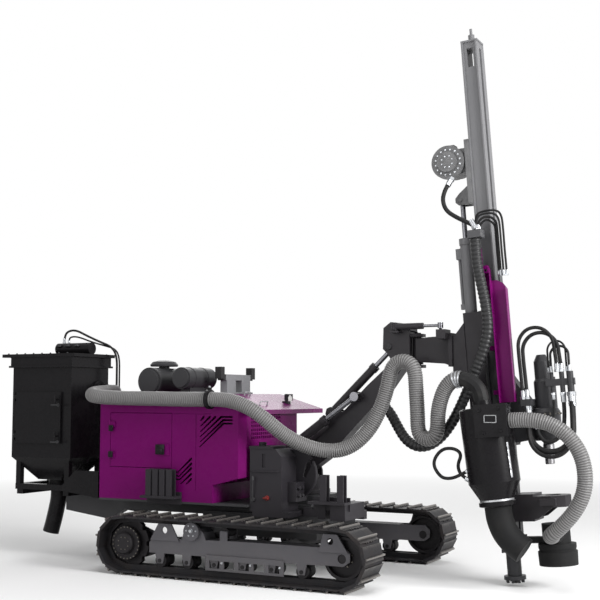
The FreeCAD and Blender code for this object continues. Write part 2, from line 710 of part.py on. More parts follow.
def louvres(word, low, high, front):
    """Slanted slots through a side wall, some with a level part at one end."""
    cuts = []
    for i, (x0, z0, x1, z1, level) in enumerate(LOUVRES):
        if level == -30 and not front or x1 > -214 and not front:
            continue
        cuts.append(plate(f"louvre_{word}_{i}", "y", [
            (x0, z0), (f"{x0} + slot_wide", z0), (x1, f"{z1} - slot_wide / 2"),
            (x1, f"{z1} + slot_wide / 2"), (f"{x1} - slot_wide", f"{z1} + slot_wide / 2")],
            low, high))
        if level is not None:
            end, z = (x1, z1) if level > x1 else (x0, z0)
            ends = (f"{x1} - 12", level) if level > x1 else (level, f"{x0} + slot_wide / 2")
            cuts.append(block(f"louvre_level_{word}_{i}", ends, (low, high), (
                f"{z} - slot_wide / 2" if level > x1 else z,
                f"{z} + slot_wide / 2" if level > x1 else f"{z} + slot_wide * 0.8")))
    return cuts


def seams(word, out, deep):
    """Grooves where the side panels meet."""
    faces = (out, deep) if out.endswith("- 1") else (deep, out)
    cuts = [block(f"seam_head_{word}", ("door_front + door_gap + 20", "notch_x - 10"), faces,
                  (f"{DOOR_HIGH} - seam_wide / 2", f"{DOOR_HIGH} + seam_wide / 2")),
            block(f"seam_upright_{word}", ("seam_x - seam_wide / 2", "seam_x + seam_wide / 2"),
                  faces, ("step_z - 60", DOOR_HIGH))]
    return cuts


def grille():
    """Square holes in rows through the canopy's front wall."""
    holes = []
    for row in range(7):
        for column in range(16):
            y = f"-603 + {column} * grille_pitch"
            z = f"1275 + {row} * grille_pitch"
            holes.append(block(f"grille_{row}_{column}", ("canopy_front - wall - 1", "canopy_front + 1"),
                               (y, f"{y} + grille_hole"), (z, f"{z} + grille_hole")))
    return together("grille_holes", holes)


def radiator_slots():
    """Level slots through the canopy's rear wall."""
    slots = []
    for i in range(9):
        z = f"{930 + 60 * i}"
        slots.append(block(f"radiator_slot_{i}", ("canopy_rear - 1", "canopy_rear + wall + 1"),
                           (80, 640), (z, f"{z} + slot_wide")))
    return slots


def canopy_walls():
    """Right, left, rear and front walls round the engine."""
    roof_at = {
        "front": "(lip_z + (ridge_z - lip_z) * (lip_x - canopy_front) / (lip_x - ridge_x))",
        "notch": "(lip_z + (ridge_z - lip_z) * (lip_x - notch_x) / (lip_x - ridge_x))",
    }
    right = plate("wall_right", "y", [
        ("canopy_rear", "deck_top"), ("notch_x", "deck_top"), ("notch_x", "step_z"),
        ("canopy_front", "chin_z"), ("canopy_front", roof_at["front"]),
        ("ridge_x", "ridge_z"), ("canopy_rear", "canopy_eaves")],
        "canopy_right", "canopy_right + wall")
    left = plate("wall_left", "y", [
        ("canopy_rear", "deck_top"), ("notch_x", "deck_top"), ("notch_x", roof_at["notch"]),
        ("ridge_x", "ridge_z"), ("canopy_rear", "canopy_eaves")],
        "canopy_left - wall", "canopy_left")
    inside_right = "canopy_right + wall - 1"
    inside_left = "canopy_left - wall + 1"
    rear = block("wall_rear", ("canopy_rear", "canopy_rear + wall"),
                 (inside_right, inside_left), ("deck_top", "canopy_eaves"))
    front = block("wall_front", ("canopy_front - wall", "canopy_front"),
                  (inside_right, "notch_y"), ("chin_z", f"{roof_at['front']} - 1"))
    notch_side = plate("wall_notch_side", "y", [
        ("notch_x", "step_z"), ("canopy_front", "chin_z"), ("canopy_front", roof_at["front"]),
        ("notch_x", roof_at["notch"])], "notch_y - wall", "notch_y")
    notch_face = block("wall_notch_face", ("notch_x - wall", "notch_x"),
                       ("notch_y - wall", inside_left), ("deck_top", f"{roof_at['notch']} - 1"))
    chin = plate("wall_chin", "y", [
        ("notch_x - wall", "deck_top"), ("notch_x", "deck_top"), ("notch_x", "step_z"),
        ("canopy_front", "chin_z"), ("canopy_front", "chin_z + wall"),
        ("notch_x - wall", "step_z + wall")], inside_right, "notch_y")
    openings = []
    for word, low, high in (("right", "canopy_right - 1", "canopy_right + wall + 1"),
                            ("left", "canopy_left - wall - 1", "canopy_left + 1")):
        openings.append(block(f"door_hole_{word}", ("door_rear - door_gap", "door_front + door_gap"),
                              (low, high), ("door_low - door_gap", f"{DOOR_HIGH} + door_gap")))
    cut = "corner_cut"
    corner = plate("wall_corner", "z", [
        (f"canopy_front - {cut}", "canopy_right"), ("canopy_front", f"canopy_right + {cut}"),
        ("canopy_front - wall", f"canopy_right + {cut} + 12"),
        (f"canopy_front - {cut} - 12", "canopy_right + wall")], "chin_z", f"{roof_at['front']} - 1")
    shaved = plate("corner_shaving", "z", [
        (f"canopy_front - {cut}", "canopy_right"), ("canopy_front", f"canopy_right + {cut}"),
        ("canopy_front + 30", f"canopy_right + {cut}"), ("canopy_front + 30", "canopy_right - 30"),
        (f"canopy_front - {cut}", "canopy_right - 30")], 800, "ridge_z")
    shell = joined("wall_set", [right, left, rear, front, notch_side, notch_face, chin, corner])
    cuts = openings + [shaved, grille()] + radiator_slots()
    cuts += louvres("right", "canopy_right - 1", "canopy_right + wall + 1", True)
    cuts += louvres("left", "canopy_left - wall - 1", "canopy_left + 1", False)
    cuts += seams("right", "canopy_right - 1", "canopy_right + seam_deep")
    cuts += seams("left", "canopy_left + 1", "canopy_left - seam_deep")
    return less("canopy_walls_solid", shell, cuts)


node("canopy_walls", canopy_walls())
DUCT_SIDE = "(canopy_right - duct_radius - 14)"
CLAMP_REAR, CLAMP_FRONT = -249, -221
roof_clamp = less("roof_clamp_ring", bar("roof_clamp_out", "x", (DUCT_SIDE, "ridge_z - 36"),
                                         CLAMP_REAR, CLAMP_FRONT, "duct_radius + 12"),
                  [bar("roof_clamp_in", "x", (DUCT_SIDE, "ridge_z - 36"), CLAMP_REAR - 11,
                       CLAMP_FRONT + 11, "duct_radius + 2 * run_gap")])
node("canopy_roof", joined("canopy_roof_solid", [plate("roof_sheet", "y", [
    ("canopy_rear - 10", "canopy_eaves + run_gap"), ("ridge_x", "ridge_z + run_gap"),
    ("lip_x", "lip_z + run_gap"), ("lip_x", "lip_z + roof_thick"),
    ("ridge_x", "ridge_z + roof_thick"), ("canopy_rear - 10", "canopy_eaves + roof_thick")],
    "canopy_right - 8", "canopy_left + 8"), roof_clamp,
    block("roof_clamp_foot", (CLAMP_REAR, CLAMP_FRONT), ("canopy_right - 12", "canopy_right + 40"),
          ("ridge_z - 34", "ridge_z + 4")),
    block("roof_front_fold", ("lip_x - 9", "lip_x"), ("canopy_right - 8", "canopy_left + 8"),
          ("lip_z - 26", "lip_z + 6"))]))
LAMP_X = -60
LAMP_Z = "(lip_z + roof_thick + run_gap + (ridge_z - lip_z) * (lip_x + 60) / (lip_x - ridge_x))"
node("work_lamp", joined("work_lamp_solid", [
    block("lamp_bracket", (LAMP_X - 16, LAMP_X + 16), (378, 384), (f"{LAMP_Z} + 10", f"{LAMP_Z} + 96")),
    plate("lamp_foot", "y", [
        (LAMP_X - 34, f"{LAMP_Z} + 34 * (ridge_z - lip_z) / (lip_x - ridge_x)"),
        (LAMP_X + 34, f"{LAMP_Z} - 34 * (ridge_z - lip_z) / (lip_x - ridge_x)"),
        (LAMP_X + 34, f"{LAMP_Z} + 22"), (LAMP_X - 34, f"{LAMP_Z} + 22")], 350, 410),
    block("lamp_case", (LAMP_X - 26, LAMP_X + 20), (383, 470), (f"{LAMP_Z} + 30", f"{LAMP_Z} + 92")),
    block("lamp_rim", (LAMP_X + 18, LAMP_X + 27), (380, 473), (f"{LAMP_Z} + 27", f"{LAMP_Z} + 95")),
]))
node("engine_block", block("engine", (-1330, -380), (-330, 420),
                           ("deck_top", "canopy_eaves - engine_drop")))


def engine_door(word, side):
    """A door panel as thick as the wall, with hinge barrels and a latch."""
    low = "canopy_right" if side < 0 else "canopy_left - wall"
    face = "canopy_right" if side < 0 else "canopy_left"
    panel = block(f"door_panel_{word}", ("door_rear", "door_front"), (low, f"{low} + wall"),
                  ("door_low", DOOR_HIGH))
    latch_low = f"{face} - 14" if side < 0 else face
    latch_high = face if side < 0 else f"{face} + 14"
    latch = block(f"door_latch_{word}", ("door_front - 95", "door_front - 25"),
                  (latch_low, latch_high), ("door_low + 125", "door_low + 230"))
    pieces = [panel, latch]
    for i, z in enumerate(("door_low + 75", f"{DOOR_HIGH} - 146")):
        centre = f"{face} + {side} * 12.3"
        pieces.append(bar(f"door_hinge_{word}_{i}", "z", ("door_rear - 2", centre), z, f"{z} + 70", 12))
        low_y = f"{face} - 14" if side < 0 else face
        pieces.append(block(f"door_strap_{word}_{i}", ("door_rear", "door_rear + 60"),
                            (low_y, f"{low_y} + 14"),
                            (f"{z} + 8", f"{z} + 62")))
    return joined(f"engine_door_{word}_solid", pieces)


node("engine_door_right", engine_door("right", -1))
node("engine_door_left", engine_door("left", 1))


def roof_over(x):
    """Height just over the rear slope of the roof at a place forward."""
    rise = f"(ridge_z - canopy_eaves) * ({x} - canopy_rear + 10) / (ridge_x - canopy_rear + 10)"
    return f"canopy_eaves + roof_thick + run_gap + {rise}"


def saddle(name, x, y, top):
    """A foot that follows the slope of the roof."""
    return plate(name, "y", [(x[0], roof_over(x[0])), (x[1], roof_over(x[1])), (x[1], top),
                             (x[0], top)], *y)


# Roof items: air cleaners and mast rest
def air_cleaners():
    """Two intake cleaners on saddles, one with a rain cap."""
    rear_z = f"({roof_over(-1130)} + cleaner_lift)"
    front_z = f"({rear_z} + 30)"
    rear = [
        bar("cleaner_rear", "y", (-1130, rear_z), -560, -60, 140),
        bar("cleaner_rear_cover", "y", (-1130, rear_z), -585, -555, 120),
        saddle("cleaner_rear_saddle", (-1200, -1060), (-480, -140), f"{rear_z} - 115"),
        bar("cleaner_stem", "z", (-1130, -300), f"{rear_z} + 115", f"{rear_z} + 175", 55),
        turned("cleaner_cap", "z", (-1130, -300), f"{rear_z} + 155", [
            (0, 0), (140, 0), (145, 18), (118, 48), (60, 62), (0, 64)]),
    ]
    front = [
        bar("cleaner_front", "y", (-745, front_z), -560, -60, 108),
        bar("cleaner_front_cover", "y", (-745, front_z), -582, -555, 92),
        bar("cleaner_strap_a", "y", (-745, front_z), -450, -420, 112),
        bar("cleaner_strap_b", "y", (-745, front_z), -220, -190, 112),
        saddle("cleaner_front_saddle", (-800, -690), (-480, -140), f"{front_z} - 75"),
        bar("cleaner_link", "x", (-130, f"{rear_z} + 15"), -1130, -745, 45),
    ]
    return joined("air_cleaners_solid", rear + front)


node("air_cleaners", air_cleaners())


def mast_rest():
    """A trestle on the roof with two end stops."""
    roof = roof_over(-450)
    stands = []
    for word, post, stop in (("right", (-230, -60), (-340, -270)), ("left", (60, 230), (270, 340))):
        stands.append(block(f"rest_post_{word}", (-490, -410), post, (f"{roof} + 9", f"{roof} + 154")))
        stands.append(block(f"rest_stop_{word}", (-485, -415), stop, (f"{roof} + 154", f"{roof} + 274")))
    return joined("mast_rest_solid", stands + [
        saddle("rest_foot", (-510, -390), (-250, 250), f"{roof} + 18"),
        block("rest_bar", (-485, -415), (-290, 290), (f"{roof} + 139", f"{roof} + 199")),
    ])


node("mast_rest", mast_rest())


# Dust collector at the rear: box, hopper, stand and chute
FILTER_PIN = ("box_rear + 40", "box_right - 13")
FILTER_HINGES = (1230, 1640)


def collector():
    """The filter box with its flanged top and the hopper below."""
    mid_x = "(box_rear + box_front) / 2"
    mid_y = "(box_right + box_left) / 2"
    top = "box_high"
    pieces = [
        block("collector_box", ("box_rear", "box_front"), ("box_right", "box_left"),
              ("box_low", "box_high")),
        block("collector_flange", ("box_rear - 35", "box_front + 35"),
              ("box_right - 35", "box_left + 35"), (f"{top} - 20", top)),
        block("collector_plenum", ("box_rear - 20", "box_front + 20"),
              ("box_right - 20", "box_left + 20"), (top, f"{top} + 90")),
        block("collector_lid", ("box_rear - 130", "box_front + 60"),
              ("box_right - 35", "box_left + 35"), (f"{top} + 90", f"{top} + 125")),
        bar("outlet_neck", "x", (-200, 1735), "box_front - 5", "box_front + 110", 84),
        bar("outlet_flange", "x", (-200, 1735), "box_front - 5", "box_front + 20", 120),
        bar("pulse_tank", "x", (-240, f"{top} + 190"), "box_front - 520", "box_front - 60", 65),
        block("pulse_feet", ("box_front - 450", "box_front - 130"), (-275, -205),
              (f"{top} + 125", f"{top} + 160")),
    ]
    hopper = doc.addObject("Part::Wedge", "hopper")
    for prop, formula in (
            ("Xmin", "box_rear"), ("Xmax", "box_front"), ("Ymin", "0"), ("Ymax", "box_low - hopper_low"),
            ("Zmin", "box_right"), ("Zmax", "box_left"),
            ("X2min", f"{mid_x} - hopper_half"), ("X2max", f"{mid_x} + hopper_half"),
            ("Z2min", f"{mid_y} - hopper_half"), ("Z2max", f"{mid_y} + hopper_half")):
        bind(hopper, prop, formula)
    hopper.Placement = Placement(Vector(), Rotation(Vector(1, 0, 0), -90))
    bind(hopper, "Placement.Base.z", "box_low")
    pieces.append(hopper)
    pieces.append(bar("hopper_neck", "z", (mid_x, mid_y), "hopper_low - 60", "hopper_low + 5", 110))
    for i, z in enumerate(FILTER_HINGES):
        pieces.append(bar(f"collector_pin_{i}", "z", FILTER_PIN, z - 5, z + 85, 7))
        for at, low in (("low", z - 10), ("high", f"{z} + 60 + run_gap")):
            pieces.append(block(f"collector_ear_{i}_{at}", ("box_rear + 28", "box_rear + 52"),
                                ("box_right - 25", "box_right + 5"), (low, f"{low} + 30 - run_gap")))
    for i, x in enumerate(("box_rear + 40", "box_front - 100")):
        for j, y in enumerate(("box_right + 30", "box_left - 90")):
            pieces.append(block(f"collector_leg_{i}{j}", (x, f"{x} + 60"), (y, f"{y} + 60"),
                                ("ring_high + run_gap", "box_low + 5")))
    return joined("collector_solid", pieces)


node("collector_body", collector())


def collector_door():
    """The filter access door with two T handles."""
    pieces = [block("filter_door", ("box_rear + 70", "box_front - 120"),
                    ("box_right - 6 - wall", "box_right - 6"), (1190, 1730))]
    for i, z in enumerate(FILTER_HINGES):
        sleeve = bar(f"filter_sleeve_{i}", "z", FILTER_PIN, f"{z} + 20", f"{z} + 60", 12)
        strap = block(f"filter_strap_{i}", ("box_rear + 40", "box_rear + 130"),
                      ("box_right - 25", "box_right - 6 - wall / 2"), (f"{z} + 20", f"{z} + 60"))
        pieces.append(less(f"filter_hinge_{i}", joined(f"filter_leaf_{i}", [sleeve, strap]),
                           [bar(f"filter_pin_hole_{i}", "z", FILTER_PIN, z, z + 80,
                                "7 + run_gap")]))
    for i, z in enumerate((1270, 1650)):
        pieces.append(bar(f"handle_stem_{i}", "y", ("box_front - 160", z),
                          "box_right - 60", "box_right - wall", 9))
        pieces.append(bar(f"handle_cross_{i}", "z", ("box_front - 160", "box_right - 62"),
                          z - 45, z + 45, 9))
    return joined("collector_door_solid", pieces)


node("collector_door", collector_door())


def collector_stand():
    """A ring under the collector's legs on arms and ties along the rear beams."""
    seat = "deck_low + 2 + run_gap"
    pieces = [less("stand_ring", block("ring_out", ("box_rear + 40", "box_front - 40"),
                                       ("box_right + 25", "box_left - 30"), ("ring_low", "ring_high")),
                   [block("ring_in", ("box_rear + 110", "box_front - 110"),
                          ("box_right + 100", "box_left - 100"), ("ring_low - 5", "ring_high + 5"))])]
    for side, word, rear in ((-1, "right", "chassis_rear"), (1, "left", "box_rear + 60")):
        mid = f"{side} * beam_half"
        pieces.append(block(f"stand_arm_{word}", (rear, -1700),
                            (f"{mid} - beam_wide / 2", f"{mid} + beam_wide / 2"),
                            (seat, "ring_low + 20")))
    for word, x0, x1, top in (("rear", "box_rear + 60", "box_rear + 140", 30),
                              ("middle", "box_front - 110", "box_front - 40", 30),
                              ("front", -1790, -1705, 20)):
        pieces.append(block(f"stand_tie_{word}", (x0, x1), ("box_right + 30", "beam_half + 50"),
                            (seat, f"ring_low + {top}")))
    pieces.append(plate("stand_gusset", "y", [
        (-2160, "ring_low + 2"), (-1690, seat), (-1690, 920), (-1990, 920), (-2160, "ring_high")],
        "box_right + 5", "box_right + 29"))
    return joined("collector_stand_solid", pieces)


node("collector_stand", collector_stand())
node("discharge_chute", tube("chute", [
    (-2452, -340, 739.7), (-2452, -340, 600), (-2475, -350, 470), (-2500, -362, 345),
    (-2525, -375, 235)], 86))


# Rod racks on the right side and the tank in front of the canopy
BEAM_SIDE = "-(beam_half + beam_wide / 2) - run_gap"


def rod_racks():
    """Two trays with upright posts for drill rods."""
    racks = []
    inner = "canopy_right - run_gap"
    for word, x0, x1, tray, posts in (
            ("rear", -1000, -600, 700, (-944, -864, -784, -704)),
            ("front", 835, 1200, 720, (950, 1120))):
        pieces = [block(f"rack_{word}_tray", (x0, x1), ("rack_out", inner), (tray, tray + 24)),
                  block(f"rack_{word}_back", (x0, x1), (f"{inner} - 14", inner),
                        (tray - 60, tray + 60))]
        for i, x in enumerate(posts):
            pieces.append(block(f"rack_{word}_post_{i}", (x, x + 62), ("rack_out + 12", "rack_out + 26"),
                                (tray, "rack_high")))
            pieces.append(block(f"rack_{word}_horn_{i}", (x, x + 62), ("rack_out + 76", "rack_out + 90"),
                                (tray, "rack_high")))
        racks.append(pieces)
    racks[1].append(block("rack_front_rail", (560, 1185), (f"{BEAM_SIDE} - 70", BEAM_SIDE),
                          ("beam_low + 40", "beam_low + 120")))
    racks[1].append(block("rack_front_arm", (880, 960), ("canopy_right - 20", f"{BEAM_SIDE} - 60"),
                          ("beam_low + 60", 722)))
    racks[1].append(block("rack_front_leg", (1040, 1185), (-840, f"{BEAM_SIDE} - 60"), (580, 722)))
    return together("rod_rack_pair", [joined("rack_rear_solid", racks[0]),
                                      joined("rack_front_solid", racks[1])])


node("rod_racks", rod_racks())


def front_cabinet():
    """The oil tank and valve cabinet under the canopy's front face."""
    rear = "canopy_front + 42"
    tank = less("tank_recessed", plate("tank", "y", [
        (rear, "deck_low - 40"), (470, "deck_low - 40"), (470, 1120), (405, 1190), (rear, 1190)],
        -700, BEAM_SIDE), [block("tank_recess", (262, 296), (-701, -688), (1018, 1142))])
    drum = less("drum_plate_cut", joined("drum_plate_whole", [
        bar("drum_plate", "y", (465, 950), -412, -398, "drum_radius"),
        less("drum_rim_ring", bar("drum_rim", "y", (465, 950), -436, -398, "drum_radius"),
             [bar("drum_rim_inside", "y", (465, 950), -440, -390, "drum_radius - 12")])]),
        [plate("drum_window", "y", [(545, 925), (572, 915), (640, 1040), (668, 1088), (628, 1096),
                                    (575, 1040)], -450, -380)])
    return joined("front_cabinet_solid", [
        tank, drum,
        block("tank_lid", ("canopy_front + 36", 365), (-706, -420), (1190, 1215)),
        bar("tank_filler", "z", (215, -600), 1190, 1250, 36),
        block("tank_ledge", ("canopy_front + 60", 440), (-712, -699), (976, 990)),
        block("valve_bank", (465, 560), (-580, BEAM_SIDE), (700, 880)),
        block("tank_bracket", (160, 540), (-700, BEAM_SIDE), (560, 612)),
    ] + [bar(f"valve_port_{i}", "x", (y, z), 558, 588, 20)
         for i, (y, z) in enumerate(((-540, 760), (-480, 760), (-540, 830), (-480, 830)))])


node("front_cabinet", front_cabinet())


# Boom: turret, boom, lift cylinders, knuckle and knuckle cylinder
EAR_IN = "(boom_half + side_gap)"
SWING_Z = "(arm_high + swing_rise)"


def turret():
    """The swing hub with the clevises of boom foot and lift cylinders."""
    hub = turned("turret_hub", "z", ("swing_x", 0), "turret_low", [
        (70.5, 0), (210, 0), (210, 34), (135, 60), (125, 150), (70.5, 150)])
    cap = bar("turret_cap", "z", ("swing_x", 0), "turret_low + 148", "turret_low + 175", 100)
    pieces = [hub, cap]
    for side, word in ((-1, "right"), (1, "left")):
        for at, near in (("in", EAR_IN), ("out", "(lift_y + barrel_radius + 5)")):
            low = f"{side} * {near}" if side > 0 else f"-{near} - ear"
            corners = [("swing_x - 150", "turret_low + 10"), ("swing_x + 105", "turret_low + 10"),
                       ("swing_x + 95", "boom_foot_z - 40"), ("swing_x + 58", "boom_foot_z + 58"),
                       ("swing_x - 30", "boom_foot_z + 70"), ("lift_foot_x + 50", "lift_foot_z + 36"),
                       ("lift_foot_x + 10", "lift_foot_z + 56"), ("lift_foot_x - 32", "lift_foot_z + 30"),
                       ("lift_foot_x - 36", "lift_foot_z - 40")]
            if at == "out":
                corners = [("swing_x - 110", "turret_low + 10"), ("swing_x + 60", "turret_low + 10"),
                           ("swing_x - 40", "boom_foot_z + 20"), ("lift_foot_x + 50", "lift_foot_z + 36"),
                           ("lift_foot_x + 10", "lift_foot_z + 56"),
                           ("lift_foot_x - 32", "lift_foot_z + 30"),
                           ("lift_foot_x - 36", "lift_foot_z - 40")]
            pieces.append(plate(f"turret_ear_{at}_{word}", "y", corners, low, f"{low} + ear"))
        pieces.append(block(f"turret_foot_{word}", ("swing_x - 110", "swing_x + 60"),
                            (f"{side} * 90" if side > 0 else "-(lift_y + barrel_radius + 5 + ear)",
                             "(lift_y + barrel_radius + 5 + ear)" if side > 0 else "-90"),
                            ("turret_low + 10", "turret_low + 34")))
        low = f"{side} * (lift_y - barrel_radius - 6)"
        end = f"{side} * (lift_y + barrel_radius + 6 + ear)"
        pieces.append(bar(f"lift_foot_pin_{word}", "y", ("lift_foot_x", "lift_foot_z"),
                          low if side > 0 else end, end if side > 0 else low, "pin_radius - 8"))
    pieces.append(bar("boom_foot_pin", "y", ("swing_x", "boom_foot_z"),
                      f"-({EAR_IN} + ear + 12)", f"{EAR_IN} + ear + 12", "pin_radius"))
    return joined("turret_solid", pieces)


node("turret", turret())


def boom():
    """The tapered box boom with its foot, lift lugs, cylinder lug and tip."""
    length = boom_length
    body = plate("boom_box", "y", [
        (-62, -40), (0, -66), (220, -105), (length - 330, -100), (length - 60, -62),
        (length + 10, -60), (length + 56, -28), (length + 56, 30), (length, 66),
        (length - 120, 62), (length - 420, 84), (240, 92), (0, 66), (-62, 34)],
        "-boom_half", "boom_half",
        [(0, 0, "pin_radius + run_gap"), (length, 0, "pin_radius + run_gap")])
    lugs = []
    for i, left in enumerate(("-boom_half + 6", "boom_half - 32")):
        lugs.append(plate(f"tilt_lug_{i}", "y", [
            ("tilt_foot_s - 120", 70), ("tilt_foot_s + 110", 70),
            ("tilt_foot_s + 40", "tilt_foot_n + 30"), ("tilt_foot_s", "tilt_foot_n + 46"),
            ("tilt_foot_s - 44", "tilt_foot_n + 20")], left, f"{left} + 26"))
    lugs.append(bar("tilt_foot_pin", "y", ("tilt_foot_s", "tilt_foot_n"), "-boom_half - 6",
                    "boom_half + 6", "pin_radius - 12"))
    for side, word in ((-1, "right"), (1, "left")):
        root = "boom_half - 5"
        face = "lift_y - 30 - run_gap"
        ends = (root, face) if side > 0 else (f"-({face})", f"-({root})")
        lugs.append(bar(f"lift_lug_{word}", "y", ("lift_lug_s", "lift_lug_n"), *ends, 46))
    lugs.append(block("hose_port", ("port_s - 55", "port_s + 55"), (-80, 30), (-130, -95)))
    item = joined("boom_solid", [body] + lugs)
    return pose(item, foot, boom_angle)


node("boom", boom())


def barrel(name, length, radius, bore, width):
    """A cylinder barrel with an eye at its pin, drawn along +X."""
    pieces = [
        bar(f"{name}_eye", "y", (0, 0), f"-({width}) / 2", f"({width}) / 2", f"{radius} + 2"),
        bar(f"{name}_tube", "x", (0, 0), 20, length, radius),
        bar(f"{name}_gland", "x", (0, 0), length - 50, length, f"{radius} + 6"),
    ]
    body = joined(f"{name}_outside", pieces)
    return less(f"{name}_drilled", body, [
        bar(f"{name}_bore", "x", (0, 0), 90, length + 5, bore),
        bar(f"{name}_pin_hole", "y", (0, 0), f"-({width})", f"{width}", "pin_radius - 12 + run_gap"
            if name == "tilt_barrel" else "pin_radius - 8 + run_gap"),
    ])


def lift_pair(make, word):
    """A left and a right piece of the lift cylinders on one body."""
    run, rise = slope(lift_foot, lift_lug)
    pair = []
    for side in (-1, 1):
        item = make("right" if side < 0 else "left", run)
        pair.append(pose(item, lift_foot + Vector(0, side * number("lift_y"), 0), rise))
    return together(word, pair)


def lift_barrel(word, run):
    return barrel(f"lift_barrel_{word}", number("lift_barrel"), "barrel_radius",
                  "rod_radius + bore_play", 96)


def lift_rod(word, run):
    return joined(f"lift_rod_{word}", [
        bar(f"lift_rod_bar_{word}", "x", (0, 0), 250, run - 30, "rod_radius"),
        bar(f"lift_rod_eye_{word}", "y", (run, 0), -30, 30, 44)])


node("lift_barrels", lift_pair(lift_barrel, "lift_barrel_pair"))
node("lift_rods", lift_pair(lift_rod, "lift_rod_pair"))

tilt_run, tilt_rise = slope(tilt_foot, tilt_pin)
node("tilt_barrel", pose(barrel("tilt_barrel", number("tilt_barrel"), "barrel_radius - 4",
                                "rod_radius + bore_play", 90), tilt_foot, tilt_rise))
node("tilt_rod", pose(joined("tilt_rod_solid", [
    bar("tilt_rod_bar", "x", (0, 0), 260, tilt_run - 25, "rod_radius"),
    bar("tilt_rod_eye", "y", (tilt_run, 0), -38, 38, 38)]), tilt_foot, tilt_rise))


def knuckle_piece():
    """Two cheek plates on the boom's tip with the arm's vertical clevis."""
    pieces = []
    for side, word in ((-1, "right"), (1, "left")):
        low = f"{side} * {EAR_IN}" if side > 0 else f"-{EAR_IN} - ear"
        pieces.append(plate(f"cheek_{word}", "y", [
            ("knuckle_x - 40", "knuckle_z - 66"), ("knuckle_x + 40", "knuckle_z - 70"),
            ("knuckle_x + 78", "knuckle_z - 40"), ("arm_pin_x - 40", "arm_low - 35"),
            ("arm_pin_x - 40", "arm_high + 55"), ("arm_pin_x - 105", "arm_high + 135"),
            ("tilt_pin_x + 20", "arm_high + 150"), ("tilt_pin_x - 55", "arm_high + 95"),
            ("tilt_pin_x - 62", "tilt_pin_z - 20"),
            ("tilt_pin_x - 20", "tilt_pin_z - 60")], low, f"{low} + ear"))
    pin_out = f"({EAR_IN} + ear + 12)"
    pieces.append(bar("knuckle_pin", "y", ("knuckle_x", "knuckle_z"), f"-{pin_out}", pin_out,
                      "pin_radius"))
    for side, word in ((-1, "right"), (1, "left")):
        low = f"{EAR_IN} + ear - 2" if side > 0 else f"-{pin_out}"
        high = pin_out if side > 0 else f"-({EAR_IN} + ear - 2)"
        pieces.append(bar(f"tilt_pin_head_{word}", "y", ("tilt_pin_x", "tilt_pin_z"), low, high, 30))
        ends = ("38 + run_gap", f"{EAR_IN} + 2")
        ends = ends if side > 0 else (f"-({ends[1]})", f"-({ends[0]})")
        pieces.append(bar(f"tilt_boss_{word}", "y", ("tilt_pin_x", "tilt_pin_z"), *ends, 30))
    between_cheeks = (f"-{EAR_IN} - 2", f"{EAR_IN} + 2")
    pieces.append(block("knuckle_back", ("arm_pin_x - hub_radius - 17", "arm_pin_x - hub_radius - 5"),
                        between_cheeks, ("arm_low - 35", "arm_high + 55")))
    pieces.append(block("knuckle_top", ("arm_pin_x - 180", "arm_pin_x - 40"), between_cheeks,
                        ("arm_high + 65", "arm_high + 90")))
    for word, low, high in (("low", "arm_low - 35", "arm_low - 6"),
                            ("high", "arm_high + 6", "arm_high + 35")):
        pieces.append(plate(f"fork_{word}", "z", [
            ("arm_pin_x - 65", -96), ("arm_pin_x + 20", -80), ("arm_pin_x + 65", -40),
            ("arm_pin_x + 65", 40), ("arm_pin_x + 20", 80), ("arm_pin_x - 65", 96)], low, high))
    pieces.append(bar("arm_pin", "z", ("arm_pin_x", 0), "arm_low - 45", "arm_high + 47",
                      "pin_radius - 4"))
    pieces.append(block("swing_ear_low", ("swing_foot_x - 40", "swing_foot_x + 45"),
                        ("swing_cyl_y - 35", f"-{EAR_IN}"), (f"{SWING_Z} - 58", f"{SWING_Z} - 40")))
    pieces.append(bar("swing_foot_pin", "z", ("swing_foot_x", "swing_cyl_y"),
                      f"{SWING_Z} - 58", f"{SWING_Z} + 40", 16))
    return joined("knuckle_solid", pieces)


node("knuckle", knuckle_piece())


def arm():
    """The short swing arm with its hub, flange and cylinder lug."""
    hub = less("arm_hub_ring", joined("arm_hub_out", [
        bar("arm_hub", "z", ("arm_pin_x", 0), "arm_low", "arm_high", "hub_radius"),
        plate("arm_box", "y", [
            ("arm_pin_x", "arm_low + 20"), ("arm_end - 60", "arm_low"), ("arm_end", "arm_low - 20"),
            ("arm_end", "arm_high + 10"), ("arm_pin_x + 120", "arm_high"),
            ("arm_pin_x", "arm_high - 15")], "-arm_half + 15", "arm_half - 15"),
        block("arm_flange", ("arm_end - 2", "arm_end + 36"), (-115, 115),
              ("arm_low - 30", "arm_high + 30")),
        block("swing_lug", ("swing_lug_x - 35", "arm_end"), ("swing_cyl_y - 30", -50),
              ("arm_high - 25", f"{SWING_Z} - 38")),
    ]), [bar("arm_hole", "z", ("arm_pin_x", 0), "arm_low - 5", "arm_high + 5",
             "pin_radius - 4 + run_gap")])
    pin = bar("swing_lug_pin", "z", ("swing_lug_x", "swing_cyl_y"), f"{SWING_Z} - 60",
              f"{SWING_Z} - 26 - run_gap", 14)
    return joined("arm_solid", [hub, pin])


